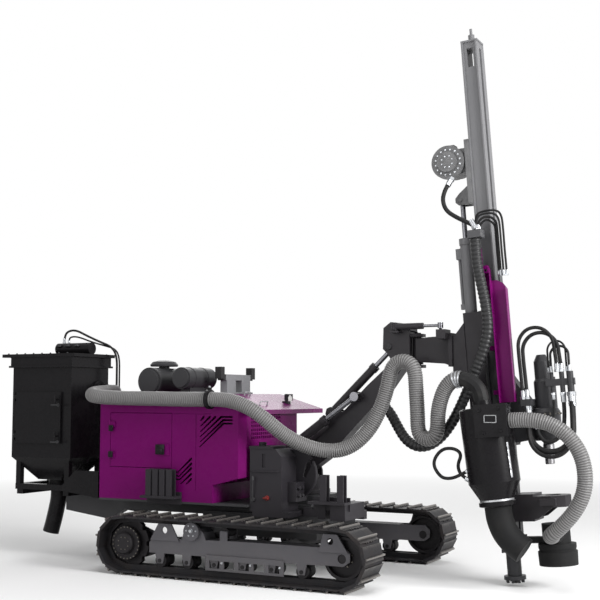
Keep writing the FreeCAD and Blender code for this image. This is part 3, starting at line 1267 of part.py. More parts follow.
node("arm", arm())
swing_run = number("swing_lug_x - swing_foot_x")
swing_foot = Vector(number("swing_foot_x"), number("swing_cyl_y"), number(SWING_Z))
node("swing_barrel", pose(less("swing_barrel_solid", joined("swing_barrel_outside", [
    bar("swing_barrel_eye", "z", (0, 0), -30, 30, 30),
    bar("swing_barrel_tube", "x", (0, 0), 15, 285, 30)]), [
    bar("swing_barrel_bore", "x", (0, 0), 60, 290, 16),
    bar("swing_barrel_hole", "z", (0, 0), -35, 35, 16.3)]), swing_foot, 0))
node("swing_rod", pose(joined("swing_rod_solid", [
    bar("swing_rod_bar", "x", (0, 0), 140, swing_run - 15, 14),
    bar("swing_rod_eye", "z", (swing_run, 0), -26, 26, 26)]), swing_foot, 0))


# Cradle: the column that the mast slides in
def cradle():
    """A column with guide shoes round the mast's rear flanges, drawn in the mast's frame."""
    seat = "(arm_end + 36 + run_gap - mast_foot_x + {} * sin(mast_lean)) / cos(mast_lean)"
    pieces = [
        block("cradle_column", ("cradle_back", "-mast_deep - 24"), (-85, 85),
              ("cradle_low", "cradle_high")),
        plate("cradle_neck", "y", [
            (seat.format("(arm_low - 80)"), "arm_low - 80"), ("cradle_back + 5", "arm_low - 245"),
            ("cradle_back + 5", "arm_high + 145"),
            (seat.format("(arm_high + 15)"), "arm_high + 15")], -95, 95),
    ]
    for word, low, high in (("low", "cradle_low", "cradle_low + 190"),
                            ("high", "cradle_high - 190", "cradle_high")):
        pieces.append(block(f"shoe_back_{word}", ("-mast_deep - 30", "-mast_deep - run_gap"),
                            (-132, 132), (low, high)))
        for side, at in ((-1, "right"), (1, "left")):
            inner = f"{side} * (flange_out + run_gap)"
            outer = f"{side} * 132"
            y = (inner, outer) if side > 0 else (outer, inner)
            pieces.append(block(f"shoe_side_{word}_{at}", (
                "-mast_deep - 30", "-mast_deep + flange_thick + 14"), y, (low, high)))
            lip_in = f"{side} * (mast_half + 6)"
            y = (lip_in, outer) if side > 0 else (outer, lip_in)
            pieces.append(block(f"shoe_lip_{word}_{at}", (
                "-mast_deep + flange_thick + run_gap", "-mast_deep + flange_thick + 14"),
                y, (low, high)))
    return lean(joined("cradle_solid", pieces))


node("cradle", cradle())
node("compensation_barrel", lean(less("comp_barrel_solid", joined("comp_barrel_outside", [
    bar("comp_barrel_tube", "z", ("comp_x", 0), "cradle_high + run_gap", "comp_high", 56),
    bar("comp_barrel_gland", "z", ("comp_x", 0), "comp_high - 60", "comp_high", 62),
    bar("comp_barrel_pipe", "z", ("comp_x - 72", 0), "cradle_high + 60", "comp_high - 90", 14),
    block("comp_valve", ("comp_x - 95", "comp_x - 40"), (-32, 32), ("comp_high - 190", "comp_high - 90")),
    block("comp_port", ("comp_x - 90", "comp_x - 40"), (-20, 20),
          ("cradle_high + 40", "cradle_high + 90")),
]), [bar("comp_bore", "z", ("comp_x", 0), "cradle_high + 40", "comp_high + 5", 26)])))


# Mast: beam with guide flanges, top sprocket, foot, chain and fittings
def mast_beam():
    """The feed beam with a chain groove, top slot, screw and foot pipe."""
    low, high = "mast_low", "mast_high"
    pieces = [block("mast_box", ("-mast_deep", "mast_deep"), ("-mast_half", "mast_half"), (low, high))]
    for word, x in (("rear", "-mast_deep"), ("front", "mast_deep - flange_thick")):
        pieces.append(block(f"mast_flange_{word}", (x, f"{x} + flange_thick"),
                            ("-flange_out", "flange_out"), (low, high)))
    body = less("mast_grooved", joined("mast_outside", pieces), [
        block("chain_groove", ("mast_deep - 30", "mast_deep + 5"), (-28, 28),
              (f"{low} + 40", f"{high} - 60")),
        block("top_slot", (-30, 30), ("-mast_half - 30", "mast_half + 30"), (f"{high} - 240", f"{high} - 60")),
    ])
    extra = [
        block("mast_cap", ("-mast_deep - 6", "mast_deep + 6"), ("-mast_half - 10", "mast_half + 10"),
              (high, f"{high} + 18")),
        bar("tension_spring", "z", (0, 0), f"{high} + 16", f"{high} + 88", 30),
        bar("tension_screw", "z", (0, 0), f"{high} + 80", f"{high} + 150", 13),
        bar("mast_foot_pipe", "z", (-5, 0), 70, f"{low} + 2", 64),
        bar("mast_foot_plate", "z", (-5, 0), 58, 92, 97),
        bar("mast_foot_tip", "z", (-5, 0), 26, 60, 30),
    ]
    for i in range(8):
        x, y = f"-5 + 72 * cos({45 * i})", f"72 * sin({45 * i})"
        extra.append(bar(f"mast_foot_stud_{i}", "z", (x, y), 32, 60, 13))
    return lean(joined("mast_beam_solid", [body] + extra))


node("mast_beam", mast_beam())
node("feed_chain", lean(together("feed_chain_pair", [
    block("chain_strand", ("mast_deep - 30 + run_gap", "mast_deep - 12"), (-18, 18),
          ("mast_low + 60", "mast_high - 330")),
])))


def feed_drive():
    """The feed gearbox and motor on a back plate, with the cylinder bracket."""
    back = "-mast_deep"
    pieces = [
        block("drive_back_plate", (f"{back} - 42", f"{back} - run_gap"), (-125, 125), (3480, 4080)),
        bar("drive_gearbox", "y", (-285, 3890), -95, 110, 128),
        bar("drive_flange", "y", (-285, 3890), -140, -95, 158),
        bar("drive_cover", "y", (-285, 3890), -165, -138, 96),
        bar("drive_motor", "y", (-285, 3890), 108, 265, 88),
        block("drive_saddle", (-300, f"{back} - 20"), (-90, 90), (3770, 4010)),
        block("drive_top_block", (-330, -230), (-80, 20), (4005, 4060)),
    ]
    for i, left in enumerate((-62, 36)):
        pieces.append(plate(f"comp_bracket_{i}", "y", [
            (f"{back} - 30", 3480), (f"{back} - 30", 3680), ("comp_x - 10", 3590),
            ("comp_x - 48", "comp_pin + 20"), ("comp_x - 48", "comp_pin - 20"),
            ("comp_x - 20", "comp_pin - 46")], left, left + 26))
    pieces.append(bar("comp_bracket_pin", "y", ("comp_x", "comp_pin"), -70, 70, 20))
    return lean(joined("feed_drive_solid", pieces))


node("feed_drive", feed_drive())
node("compensation_rod", lean(less("comp_rod_solid", joined("comp_rod_outside", [
    bar("comp_rod_bar", "z", ("comp_x", 0), "comp_pin - 640", "comp_pin - 20", 24),
    bar("comp_rod_eye", "y", ("comp_x", "comp_pin"), -34, 34, 38)]), [
    bar("comp_rod_hole", "y", ("comp_x", "comp_pin"), -40, 40, 20.3)])))


def hose_channel():
    """Two folded channels on the mast's right side that guide the head's hoses."""
    outer = "-channel_off"
    wide = less("wide_channel", plate("wide_channel_out", "y", [
        (45, 1625), (190, 1625), (190, 2640), (150, 2700), (95, 2730), (45, 2730)],
        f"{outer} - 68", outer),
        [block("wide_channel_in", (51, 184), (f"{outer} - 70", f"{outer} - 6"), (1600, 2800))])
    narrow = less("narrow_channel", plate("narrow_channel_out", "y", [
        (-22, 2400), (46, 2400), (46, 2830), (30, 2870), (-7, 2870), (-22, 2850)],
        f"{outer} - 50", outer, [(12, 2825, 14)]),
        [block("narrow_channel_in", (-16, 41), (f"{outer} - 52", f"{outer} - 6"), (2390, 2800))])
    pieces = [wide, narrow]
    for i, up in enumerate((1700, 2100, 2500)):
        pieces.append(block(f"channel_arm_{i}", (-20, 30), (f"{outer} - 6", "-mast_half - run_gap"),
                            (up, up + 40)))
        pieces.append(block(f"channel_tie_{i}", (-20, 60), (f"{outer} - 6", outer), (up, up + 40)))
    manifold = (block("hose_manifold", (-95, 30), (-310, -178), ("manifold_low", "manifold_low + 70")),
                block("manifold_arm", (-60, -10), (-180, "-flange_out - run_gap"),
                      ("manifold_low + 15", "manifold_low + 55")),
                block("manifold_tie", (-60, -22), (-190, f"{outer}"), (2840, "manifold_low + 55")),
                block("manifold_foot", (-60, 0), (f"{outer} - 6", outer), (2780, 2860)))
    return lean(joined("hose_channel_solid", pieces + list(manifold)))


node("hose_channel", hose_channel())


def mast_table():
    """The lower block and clamp table with the rod guide bore."""
    table = less("table_drilled", joined("table_outside", [
        block("table_block", ("mast_deep + run_gap", 260), (-150, 150), (575, 810)),
        plate("table_plate", "z", [
            (180, -150), (420, -150), (530, -90), (560, 0), (530, 90), (420, 150), (180, 150)],
            "table_low", "table_high"),
        block("clamp_jaw_right", (330, 470), (-205, -150), ("table_low + 20", "table_high - 20")),
        block("clamp_jaw_left", (330, 470), (150, 205), ("table_low + 20", "table_high - 20")),
        plate("table_gusset_right", "y", [(250, 590), (300, 600), (430, "table_low + 5"),
                                          (250, "table_low + 5")], -150, -136),
        plate("table_gusset_left", "y", [(250, 590), (300, 600), (430, "table_low + 5"),
                                         (250, "table_low + 5")], 136, 150),
    ]), [bar("table_bore", "z", ("drill_x", 0), "table_low - 5", "table_high + 5", 72)])
    return lean(table)


node("mast_table", mast_table())


def dust_hood():
    """The sliding dust hood: drum, flange, duct neck and rubber skirt."""
    hood = turned("hood_drum", "z", ("drill_x", 0), "hood_low", [
        (128, 0), (168, 0), (172, 120), (160, 128), (160, 138), (165, 150), (165, 186),
        (122, 186), (122, 360), (78, 360), (78, 342), (104, 342), (104, 150), (128, 130)])
    neck = less("hood_neck_ring", bar("hood_neck_out", "y", ("drill_x + 25", "hood_low + 270"),
                                      -205, -100, 70),
                [bar("hood_neck_in", "y", ("drill_x + 25", "hood_low + 270"), -210, -60, 60)])
    arm_piece = block("hood_arm", ("mast_deep + 20", "drill_x - 98"), (-40, 40),
                      ("hood_low + 190", "hood_low + 245"))
    guide = block("hood_guide", ("mast_deep + run_gap", "mast_deep + 30"), (-110, 110),
                  ("hood_low + 135", "hood_low + 255"))
    return lean(joined("dust_hood_solid", [hood, neck, arm_piece, guide]))


node("dust_hood", dust_hood())


# Rotary head on its carriage, and the spindle
# Fittings of the bulkhead: place forward, radius
HEAD_FITTINGS = ((516, 16), (604, 22), (676, 30))


def rotary_head():
    """The feed carriage, gearbox and motor of the rotary head."""
    front = "mast_deep"
    pieces = [
        block("carriage_plate", (f"{front} + run_gap", f"{front} + 32"), (-132, 132),
              ("carriage_low", "carriage_high")),
        plate("carriage_web", "y", [
            (f"{front} + 30", "carriage_low + 20"), ("drill_x - 80", "head_low + 20"),
            ("drill_x - 80", "head_low + 300"), (f"{front} + 30", "carriage_high - 60")], -70, 70),
        turned("rotary_case", "z", ("drill_x", 0), "head_low", [
            (46.3, 0), (112, 0), (120, 12), (128, 40), (128, 250), (110, 280), (84, 290),
            (84, 520), (70, 545), (70, 700), (40, 760), (0, 760), (0, 300), (46.3, 300)]),
        bar("rotary_motor", "z", ("drill_x + 20", 108), "head_low + 120", "head_low + 560", 62),
        block("hose_bulkhead", ("drill_x + 60", "drill_x + 315"), (-154, -114),
              ("bulkhead_low", "bulkhead_low + 60")),
        block("bulkhead_arm", ("drill_x + 60", "drill_x + 85"), (-130, -40),
              ("bulkhead_low + 8", "bulkhead_low + 52")),
        block("hose_clamp", (235, 330), (-200, -60), ("clamp_low", "clamp_low + 60")),
    ]
    for i, (forward, radius) in enumerate(HEAD_FITTINGS):
        pieces.append(bar(f"fitting_{i}", "z", (forward, -134), "bulkhead_low - fitting",
                          "bulkhead_low + 60 + fitting", radius))
    for side, word in ((-1, "right"), (1, "left")):
        for at, low, high in (("low", "carriage_low", "carriage_low + 160"),
                              ("high", "carriage_high - 160", "carriage_high")):
            inner = f"{side} * (flange_out + run_gap)"
            outer = f"{side} * 132"
            y = (inner, outer) if side > 0 else (outer, inner)
            pieces.append(block(f"carriage_side_{word}_{at}", (
                f"{front} - flange_thick - 14", f"{front} + 20"), y, (low, high)))
            lip_in = f"{side} * (mast_half + 6)"
            y = (lip_in, outer) if side > 0 else (outer, lip_in)
            pieces.append(block(f"carriage_lip_{word}_{at}", (
                f"{front} - flange_thick - 14", f"{front} - flange_thick - run_gap"),
                y, (low, high)))
    return lean(joined("rotary_head_solid", pieces))


node("rotary_head", rotary_head())
node("spindle", lean(less("spindle_solid", turned("spindle_turned", "z", ("drill_x", 0), "head_low - 210", [
    (0, 0), (38, 0), (42, 8), (42, 90), (50, 98), (50, 170), (46, 178), (46, 440), (0, 440)]),
    [bar("spindle_thread_bore", "z", ("drill_x", 0), "head_low - 215", "head_low - 130", 24)])))


# Cyclone on the right side of the mast
def on_cyclone(forward, left, up):
    """A place in the cyclone's frame, which leans further back than the mast's."""
    pivot = Vector(number("cyclone_x"), number("cyclone_y"), number("cyclone_foot"))
    tilt = Rotation(Vector(0, -1, 0), number("cyclone_tilt"))
    place = pivot + tilt.multVec(Vector(forward, left, up) - pivot)
    return on_mast(place.x, place.y, place.z)


def cyclone():
    """The pre-separator: drum, cone, clamp ring and inlet box on two mast brackets."""
    top, low = "cyclone_high", "cyclone_foot"
    drum = turned("cyclone_drum", "z", ("cyclone_x", "cyclone_y"), low, [
        (0, 0), (146, 0), (158, 6), (158, 38), (146, 44), (146, 60), ("cyclone_radius", 205),
        ("cyclone_radius", "cyclone_high - cyclone_foot - 12"),
        ("cyclone_radius - 14", "cyclone_high - cyclone_foot"),
        (0, "cyclone_high - cyclone_foot")])
    inlet = block("cyclone_inlet_box", (-50, 225), ("cyclone_y - 222", "cyclone_y - 60"),
                  (f"{top} - 250", f"{top} + 15"))
    cover = block("cyclone_cover", (-58, 233), ("cyclone_y - 234", "cyclone_y - 221"),
                  (f"{top} - 258", f"{top} + 23"))
    collar = bar("cyclone_collar", "z", ("cyclone_x - 15", "cyclone_y"), f"{top} - 2", f"{top} + 60", 84)
    leaning = joined("cyclone_drum_set", [drum, collar])
    pivot = Vector(number("cyclone_x"), number("cyclone_y"), number("cyclone_foot"))
    leaning.Placement = Placement(Vector(), Rotation(Vector(0, -1, 0), number("cyclone_tilt")), pivot)
    bracket = block("cyclone_bracket", (-38, 32), ("cyclone_y + 150", "-flange_out - run_gap"),
                    (f"{top} - 420", f"{top} - 220"))
    lower = block("cyclone_lower_bracket", (-38, 32), ("cyclone_y + 120", "-flange_out - run_gap"),
                  (f"{low} + 70", f"{low} + 150"))
    return lean(joined("cyclone_solid", [leaning, inlet, cover, bracket, lower]))


node("cyclone", cyclone())
boot_start = on_cyclone(number("cyclone_x"), number("cyclone_y"), number("cyclone_foot") - 0.3)
boot_bend = on_cyclone(number("cyclone_x"), number("cyclone_y"), number("cyclone_foot") - 110)
boot_points = [boot_start, boot_bend] + [Vector(x, boot_start.y, z) for x, z in (
    (2505, 515), (2588, 424), (2672, 368))]
node("cyclone_boot", tube("cyclone_boot_tube", [tuple(p) for p in boot_points],
                          number("boot_radius")))

# Suction ducts: canopy run, boom run and hood run
duct = number("duct_radius")
side_y = number(DUCT_SIDE)
roof_points = [
    Vector(number("box_front") + 110.3, -200, 1735), Vector(-1800, -200, 1735),
    Vector(-1744, -410, 1733), Vector(-1740, -700, 1716), Vector(-1610, -866, 1686),
    Vector(-1390, -856, 1668), Vector(-960, side_y - 4, 1662), Vector(-540, side_y, 1654),
    Vector(-200, side_y, 1654)]
node("roof_duct", tube("roof_duct_tube", [tuple(p) for p in roof_points], duct))
roof_end = roof_points[-1]
roof_way = (roof_end - roof_points[-2]).normalize()
boom_start = roof_end + roof_way * 0.3
cyclone_collar = on_cyclone(number("cyclone_x - 15"), number("cyclone_y"), number("cyclone_high + 60.3"))
cyclone_way = Rotation(Vector(0, -1, 0), number("mast_lean + cyclone_tilt")).multVec(Vector(0, 0, 1))
boom_points = [
    boom_start, Vector(-40, side_y, 1654), Vector(179, -842, 1592), Vector(330, -805, 1490),
    Vector(470, -690, 1335), Vector(620, -560, 1225), Vector(800, -450, 1168),
    Vector(998, -370, 1190), Vector(1180, -320, 1345), Vector(1300, -302, 1560),
    Vector(1375, -300, 1770), Vector(1405, -300, 1930), Vector(1478, -303, 2003),
    Vector(1582, -310, 2003), Vector(1655, -320, 1925), Vector(1668, -330, 1740),
    Vector(1684, -342, 1530), Vector(1690, -350, 1360), Vector(1749, -358, 1300),
    Vector(1832, -366, 1300), Vector(1888, -374, 1362), Vector(1894, -380, 1560),
    Vector(1955, -390, 1740), Vector(2045, -400, 1832), Vector(2150, -406, 1842),
    Vector(2242, -410, 1795), cyclone_collar + cyclone_way * 95, cyclone_collar]
node("boom_duct", tube("boom_duct_tube", [tuple(p) for p in boom_points], duct - 2))
neck = on_mast(number("drill_x") + 25, -205.3, number("hood_low") + 270)
side_port = on_mast(225.3, number("cyclone_y") - 130, number("cyclone_high") - 125)
port_way = on_mast(385, number("cyclone_y") - 130, number("cyclone_high") - 125)
hood_points = [side_port, port_way] + [Vector(*p) for p in (
    (2925, -530, 1462), (3080, -515, 1372), (3185, -498, 1225),
    (3222, -480, 1060), (3208, -462, 890), (3130, -446, 735), (3010, -425, 600))] + [
    neck + Vector(0, -185, 0), neck]
node("hood_duct", tube("hood_duct_tube", [tuple(p) for p in hood_points], duct - 14))

# Hoses: the sleeved bundle from mast to boom, the arch into the channel, the head's loops
port = on_boom(number("port_s"), -130.3, -25)
sleeve_start = on_mast(-42, -252, number("manifold_low") - 0.3)
mast_hose_points = [
    sleeve_start, on_mast(-42, -252, number("manifold_low") - 120), Vector(2238, -256, 2870),
    Vector(2276, -260, 2690), Vector(2318, -262, 2490), Vector(2340, -262, 2290),
    Vector(2300, -262, 2110), Vector(2222, -258, 1940), Vector(2146, -248, 1770),
    Vector(2062, -230, 1600), Vector(1972, -212, 1450), Vector(1868, -202, 1318),
    Vector(1748, -196, 1232), Vector(1610, -176, 1214), Vector(1480, -140, 1280),
    Vector(1374, -84, 1410), on_boom(number("port_s"), -245, -25), port]
node("mast_hose", tube("mast_hose_tube", [tuple(p) for p in mast_hose_points], 50))
arch_points = [on_mast(*p) for p in (
    (-12, -235, number("manifold_low") + 70.3), (-12, -235, 3258), (36, -228, 3306),
    (104, -214, 3306), (152, -200, 3258), (153, -190, 3180), (150, -183, 3070), (148, -179, 2960),
    (150, -177, 2850), (147, -176, 2760))]
node("arch_hose", tube("arch_hose_tube", [tuple(p) for p in arch_points], 11))
clamp_top = number("clamp_low") + 60.3
clamp_under = number("clamp_low") - 0.3
fitting_top = number("bulkhead_low + 60 + fitting") + 0.3
fitting_under = number("bulkhead_low - fitting") - 0.3
small_u, middle_u, large_u = (forward for forward, radius in HEAD_FITTINGS)
head_points = [on_mast(*p) for p in (
    (290, -165, clamp_top), (290, -165, 1740), (288, -168, 1862), (286, -174, 1992),
    (290, -180, 2123), (382, -186, 2215), (512, -186, 2215), (middle_u, -184, 2123),
    (middle_u + 2, -166, 2010), (middle_u, -134, 1925), (middle_u, -134, fitting_top))]
node("head_hose", tube("head_hose_tube", [tuple(p) for p in head_points], 17))
small_points = [on_mast(*p) for p in (
    (small_u, -134, fitting_top), (small_u, -134, 1910), (small_u + 1, -130, 1974),
    (small_u, -122, 2040), (small_u + 47, -114, 2087), (large_u - 47, -114, 2087),
    (large_u, -122, 2040), (large_u + 1, -130, 1974), (large_u, -134, 1910),
    (large_u, -134, fitting_top))]
node("small_hose", tube("small_hose_tube", [tuple(p) for p in small_points], 11))
loop_points = [on_mast(*p) for p in (
    (290, -165, clamp_under), (290, -165, 1480), (290, -205, 1285), (403, -218, 1172),
    (563, -218, 1172), (large_u, -200, 1285), (large_u + 3, -170, 1440), (large_u, -134, 1590),
    (large_u, -134, fitting_under))]
node("loop_hose", tube("loop_hose_tube", [tuple(p) for p in loop_points], 26))

doc.recompute()
failed = [o.Name for o in doc.Objects if "Invalid" in o.State or "Error" in o.State]
if failed:
    raise SystemExit(f"objects that failed: {failed}")
for item in NODES:
    if item.Shape.isNull() or not item.Shape.isValid():
        raise SystemExit(f"{item.Label} has no valid shape")
    if not item.Shape.Solids:
        raise SystemExit(f"{item.Label} has no solid")
for item in NODES:
    item.Shape.exportStep(os.path.join("parts", item.Label + ".step"))
print(f"{len(NODES)} nodes written")
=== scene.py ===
# %% [markdown]
# # A crawler drill rig for blast holes
#
# This lesson dresses a drill rig. Its steel pieces come ready made and in
# place, as nodes that ride on bodies such as the boom or the mast. Here they
# get their paint and wear, and the pieces that metal work can't show are
# modelled: ribbed suction ducts, hydraulic hoses, bolts and small fittings.

import math

import bmesh
import bpy
from mathutils import Matrix, Vector
from mathutils.bvhtree import BVHTree


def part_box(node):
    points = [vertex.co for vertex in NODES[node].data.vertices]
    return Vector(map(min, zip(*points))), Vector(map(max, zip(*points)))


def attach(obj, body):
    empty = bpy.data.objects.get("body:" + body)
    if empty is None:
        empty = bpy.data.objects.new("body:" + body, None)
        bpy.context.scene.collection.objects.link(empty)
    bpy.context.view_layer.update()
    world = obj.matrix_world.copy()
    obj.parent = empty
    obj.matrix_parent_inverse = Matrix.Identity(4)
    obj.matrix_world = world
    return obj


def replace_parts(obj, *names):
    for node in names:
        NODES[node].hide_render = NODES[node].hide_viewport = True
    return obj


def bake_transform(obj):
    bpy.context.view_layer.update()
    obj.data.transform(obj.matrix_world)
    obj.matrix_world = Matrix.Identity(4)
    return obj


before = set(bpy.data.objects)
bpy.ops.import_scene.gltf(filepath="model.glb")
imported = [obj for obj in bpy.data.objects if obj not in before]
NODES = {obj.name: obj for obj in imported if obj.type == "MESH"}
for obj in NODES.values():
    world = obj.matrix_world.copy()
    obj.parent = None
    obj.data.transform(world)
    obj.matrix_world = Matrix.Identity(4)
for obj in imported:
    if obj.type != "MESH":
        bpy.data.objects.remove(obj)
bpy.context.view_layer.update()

# %% [markdown]
# ## The camera
#
# The picture was taken from ahead of the machine and to its right, at about
# eye height, with a long lens. The lens is given as a focal length in the
# picture's own pixels, which turns into millimetres on a 36 mm sensor.

# %% Camera
EYE = Vector((5.37, -9.70, 1.67))
AZIMUTH = math.radians(27.6)
PITCH = math.radians(5.1)
FRAME_PIXELS = 600
FOCAL_PIXELS = 1094
SENSOR_MM = 36


def new_object(name, data):
    """An object of a mesh, a curve, a lamp or a camera, linked into the scene."""
    item = bpy.data.objects.new(name, data)
    bpy.context.collection.objects.link(item)
    return item


camera = new_object("photo_camera", bpy.data.cameras.new("photo_camera"))
bpy.context.scene.camera = camera
camera.data.sensor_width = SENSOR_MM
camera.data.lens = SENSOR_MM * FOCAL_PIXELS / FRAME_PIXELS
gaze = Vector((-math.sin(AZIMUTH) * math.cos(PITCH), math.cos(AZIMUTH) * math.cos(PITCH),
               math.sin(PITCH)))
camera.location = EYE
camera.rotation_euler = gaze.to_track_quat("-Z", "Y").to_euler()
camera.data.clip_end = 200
print("lens", round(camera.data.lens, 1), "mm")

# %% [markdown]
# ## Helpers for finishes
#
# Colours are written as the hex values that a picture shows, so one function
# turns them into the linear values that a shader wants. A second one adds a
# node to a material or to the world, with its settings and its links.

# %% Colours, nodes and a plain finish


def linear(hex_colour):
    """An sRGB hex colour as linear red, green, blue and alpha."""
    parts = [int(hex_colour[i:i + 2], 16) / 255 for i in (1, 3, 5)]
    return [c / 12.92 if c <= 0.04045 else ((c + 0.055) / 1.055) ** 2.4 for c in parts] + [1.0]


def add_node(owner, kind, sockets=None, **settings):
    """Adds a node to a material or world; each socket takes a value or another's output."""
    item = owner.node_tree.nodes.new(kind)
    for word, value in settings.items():
        setattr(item, word, value)
    for word, value in (sockets or {}).items():
        if isinstance(value, bpy.types.NodeSocket):
            owner.node_tree.links.new(value, item.inputs[word])
        else:
            item.inputs[word].default_value = value
    return item


def new_finish(name, colour, roughness, metallic=0.0, gloss=0.5):
    """A material with its shader's plain values set on the shader itself."""
    material = bpy.data.materials.new(name)
    material.use_nodes = True
    shader = material.node_tree.nodes["Principled BSDF"]
    shader.inputs["Base Color"].default_value = linear(colour)
    shader.inputs["Roughness"].default_value = roughness
    shader.inputs["Metallic"].default_value = metallic
    shader.inputs["Specular IOR Level"].default_value = gloss
    return material, shader


print("black is", linear("#000000"), "and white is", linear("#FFFFFF"))

# %% [markdown]
# The next ones are short names for the few nodes that every finish here needs:
# a place on the machine, a sum, a noise, a ramp, a mix of colours and a bump.

# %% Short names for nodes


def object_place(owner):
    """The point of the surface in the machine's own frame, in metres."""
    return add_node(owner, "ShaderNodeTexCoord").outputs["Object"]


def axes(owner, place):
    """The outputs X, Y and Z of a place."""
    return add_node(owner, "ShaderNodeSeparateXYZ", {"Vector": place}).outputs


def far_off(owner, place):
    """How far a place lies from the origin."""
    return add_node(owner, "ShaderNodeVectorMath", {0: place}, operation="LENGTH").outputs["Value"]


def maths(owner, operation, *values):
    """The result of a sum on numbers or on other nodes' outputs."""
    return add_node(owner, "ShaderNodeMath", dict(enumerate(values)),
                    operation=operation).outputs["Value"]


def noise(owner, place, scale, detail=5.0, rough=0.6):
    """A noise of a scale in cycles per metre, as a value from 0 to 1."""
    return add_node(owner, "ShaderNodeTexNoise", {
        "Vector": place, "Scale": scale, "Detail": detail, "Roughness": rough}).outputs["Fac"]


def ramp(owner, value, low, high, out_low, out_high):
    """Maps low..high of a value to out_low..out_high, clamped."""
    return add_node(owner, "ShaderNodeMapRange", {
        "Value": value, "From Min": low, "From Max": high,
        "To Min": out_low, "To Max": out_high}).outputs["Result"]


def blend_colours(material, factor, first, second):
    """A colour between two, each a hex value or another node's output."""
    item = add_node(material, "ShaderNodeMix", {"Factor": factor}, data_type="RGBA")
    for place, colour in ((6, first), (7, second)):
        if isinstance(colour, str):
            item.inputs[place].default_value = linear(colour)
        else:
            material.node_tree.links.new(colour, item.inputs[place])
    return item.outputs[2]


def join_to(material, output, shader, socket):
    """Feeds a node's output to one of the shader's sockets."""
    material.node_tree.links.new(output, shader.inputs[socket])


def add_bump(material, shader, height, strength, distance, **more):
    """Tilts the shader's normal by a height of 0 to 1 that is distance metres deep."""
    bump = add_node(material, "ShaderNodeBump", {
        "Height": height, "Strength": strength, "Distance": distance, **more})
    join_to(material, bump.outputs["Normal"], shader, "Normal")


print("helpers ready")

# %% [markdown]
# ## Paint on steel
#
# Machine paint is an acrylic or two-pack enamel sprayed over welded plate. It
# levels well, but a slight orange peel stays and breaks up its gloss. Dust
# dulls it in patches and settles low down. So each paint mixes its own colour
# with a duller one by a large noise, adds a thin dust by height, varies the
# roughness a little, and carries a fine bump. A bevel node rounds the sharp
# plate edges by a few millimetres for the eye, because real paint builds up
# there and catches the light.

# %% Enamel over plate
EDGE_RADIUS = 0.004
PEEL_SCALE = 260.0
PEEL_DEPTH = 0.0006
GRIME = 0.30


def enamel(name, colour, dull, dust, roughness, gloss, dust_top=1.0, dust_amount=0.22):
    """Sprayed enamel: its colour, its duller colour, the dust's colour and how high it lies."""
    material, shader = new_finish(name, colour, roughness, gloss=gloss)
    place = object_place(material)
    patches = ramp(material, noise(material, place, 1.6, 6.0), 0.35, 0.78, 0.0, GRIME)
    weathered = blend_colours(material, patches, colour, dull)
    low = ramp(material, axes(material, place)["Z"], 0.05, dust_top, dust_amount, 0.02)
    grain = noise(material, place, 9.0, 8.0, 0.7)
    dusty = maths(material, "MULTIPLY", low, grain)
    join_to(material, blend_colours(material, dusty, weathered, dust), shader, "Base Color")
    join_to(material, ramp(material, grain, 0.3, 0.7, roughness - 0.05, roughness + 0.08),
            shader, "Roughness")
    rounded = add_node(material, "ShaderNodeBevel", {"Radius": EDGE_RADIUS}, samples=4)
    add_bump(material, shader, noise(material, place, PEEL_SCALE, 2.0, 0.5), 0.10, PEEL_DEPTH,
             Normal=rounded.outputs["Normal"])
    return material


def paint_over(material, amount, colour):
    """Lays another colour over a paint by an amount of 0 to 1."""
    shader = material.node_tree.nodes["Principled BSDF"]
    before = shader.inputs["Base Color"].links[0].from_socket
    join_to(material, blend_colours(material, amount, before, colour), shader, "Base Color")


def repaint(material, centre, half, colour):
    """Gives another colour to what lies inside a box of the machine's frame."""
    place = axes(material, object_place(material))
    inside = 1.0
    for axis, middle, reach in zip("XYZ", centre, half):
        within = maths(material, "COMPARE", place[axis], middle, reach)
        inside = maths(material, "MULTIPLY", inside, within)
    paint_over(material, inside, colour)


print("enamel ready, its edges rounded by", EDGE_RADIUS * 1000, "mm")

# %% [markdown]
# The purple is one paint with three glosses, since the roof lies open to the
# sky and the doors don't. Small boxes get another colour: the duct's support
# at the roof's edge, the manifold that is one piece with the hose channel, and
# the black stops of the mast's rest.

# %% The machine's paints
PURPLE = ("#640856", "#52063F", "#6A4A64", 0.27)
purple = enamel("purple_enamel", *PURPLE, 0.05, dust_amount=0.05)
roof_purple = enamel("roof_enamel", *PURPLE, 0.16, dust_amount=0.05)
repaint(roof_purple, (-0.235, -0.86, 1.68), (0.030, 0.10, 0.12), "#121113")
channel_purple = enamel("channel_enamel", *PURPLE, 0.08, dust_amount=0.05)
repaint(channel_purple, (2.25, -0.22, 3.30), (0.40, 0.30, 0.27), "#4B4B4D")
frame_grey = enamel("frame_grey_enamel", "#525156", "#434246", "#77726B", 0.45, 0.14, 0.7, 0.30)
chassis_grey = enamel("chassis_enamel", "#39393B", "#2C2C2E", "#6A6660", 0.45, 0.12, 0.7, 0.20)
mast_grey = enamel("mast_grey_enamel", "#6A6A6C", "#5A5A5D", "#85817C", 0.42, 0.18)
boom_grey = enamel("boom_charcoal_enamel", "#2A282B", "#201E21", "#625E5A", 0.36, 0.14,
                   dust_amount=0.08)
black = enamel("black_enamel", "#151416", "#0F0E10", "#4E4A46", 0.26, 0.10, dust_amount=0.05)
head_grey = enamel("head_grey_enamel", "#343436", "#282829", "#66625E", 0.42, 0.14,
                   dust_amount=0.10)
rack_grey = enamel("rack_charcoal_enamel", "#29272B", "#201E22", "#625E5A", 0.42, 0.12,
                   dust_amount=0.10)
rest_grey = enamel("rest_enamel", "#7A7B7D", "#6A6B6E", "#8A8680", 0.42, 0.20)
for side in (-1, 1):
    repaint(rest_grey, (-0.45, side * 0.32, 1.93), (0.10, 0.075, 0.09), "#1C1B1C")
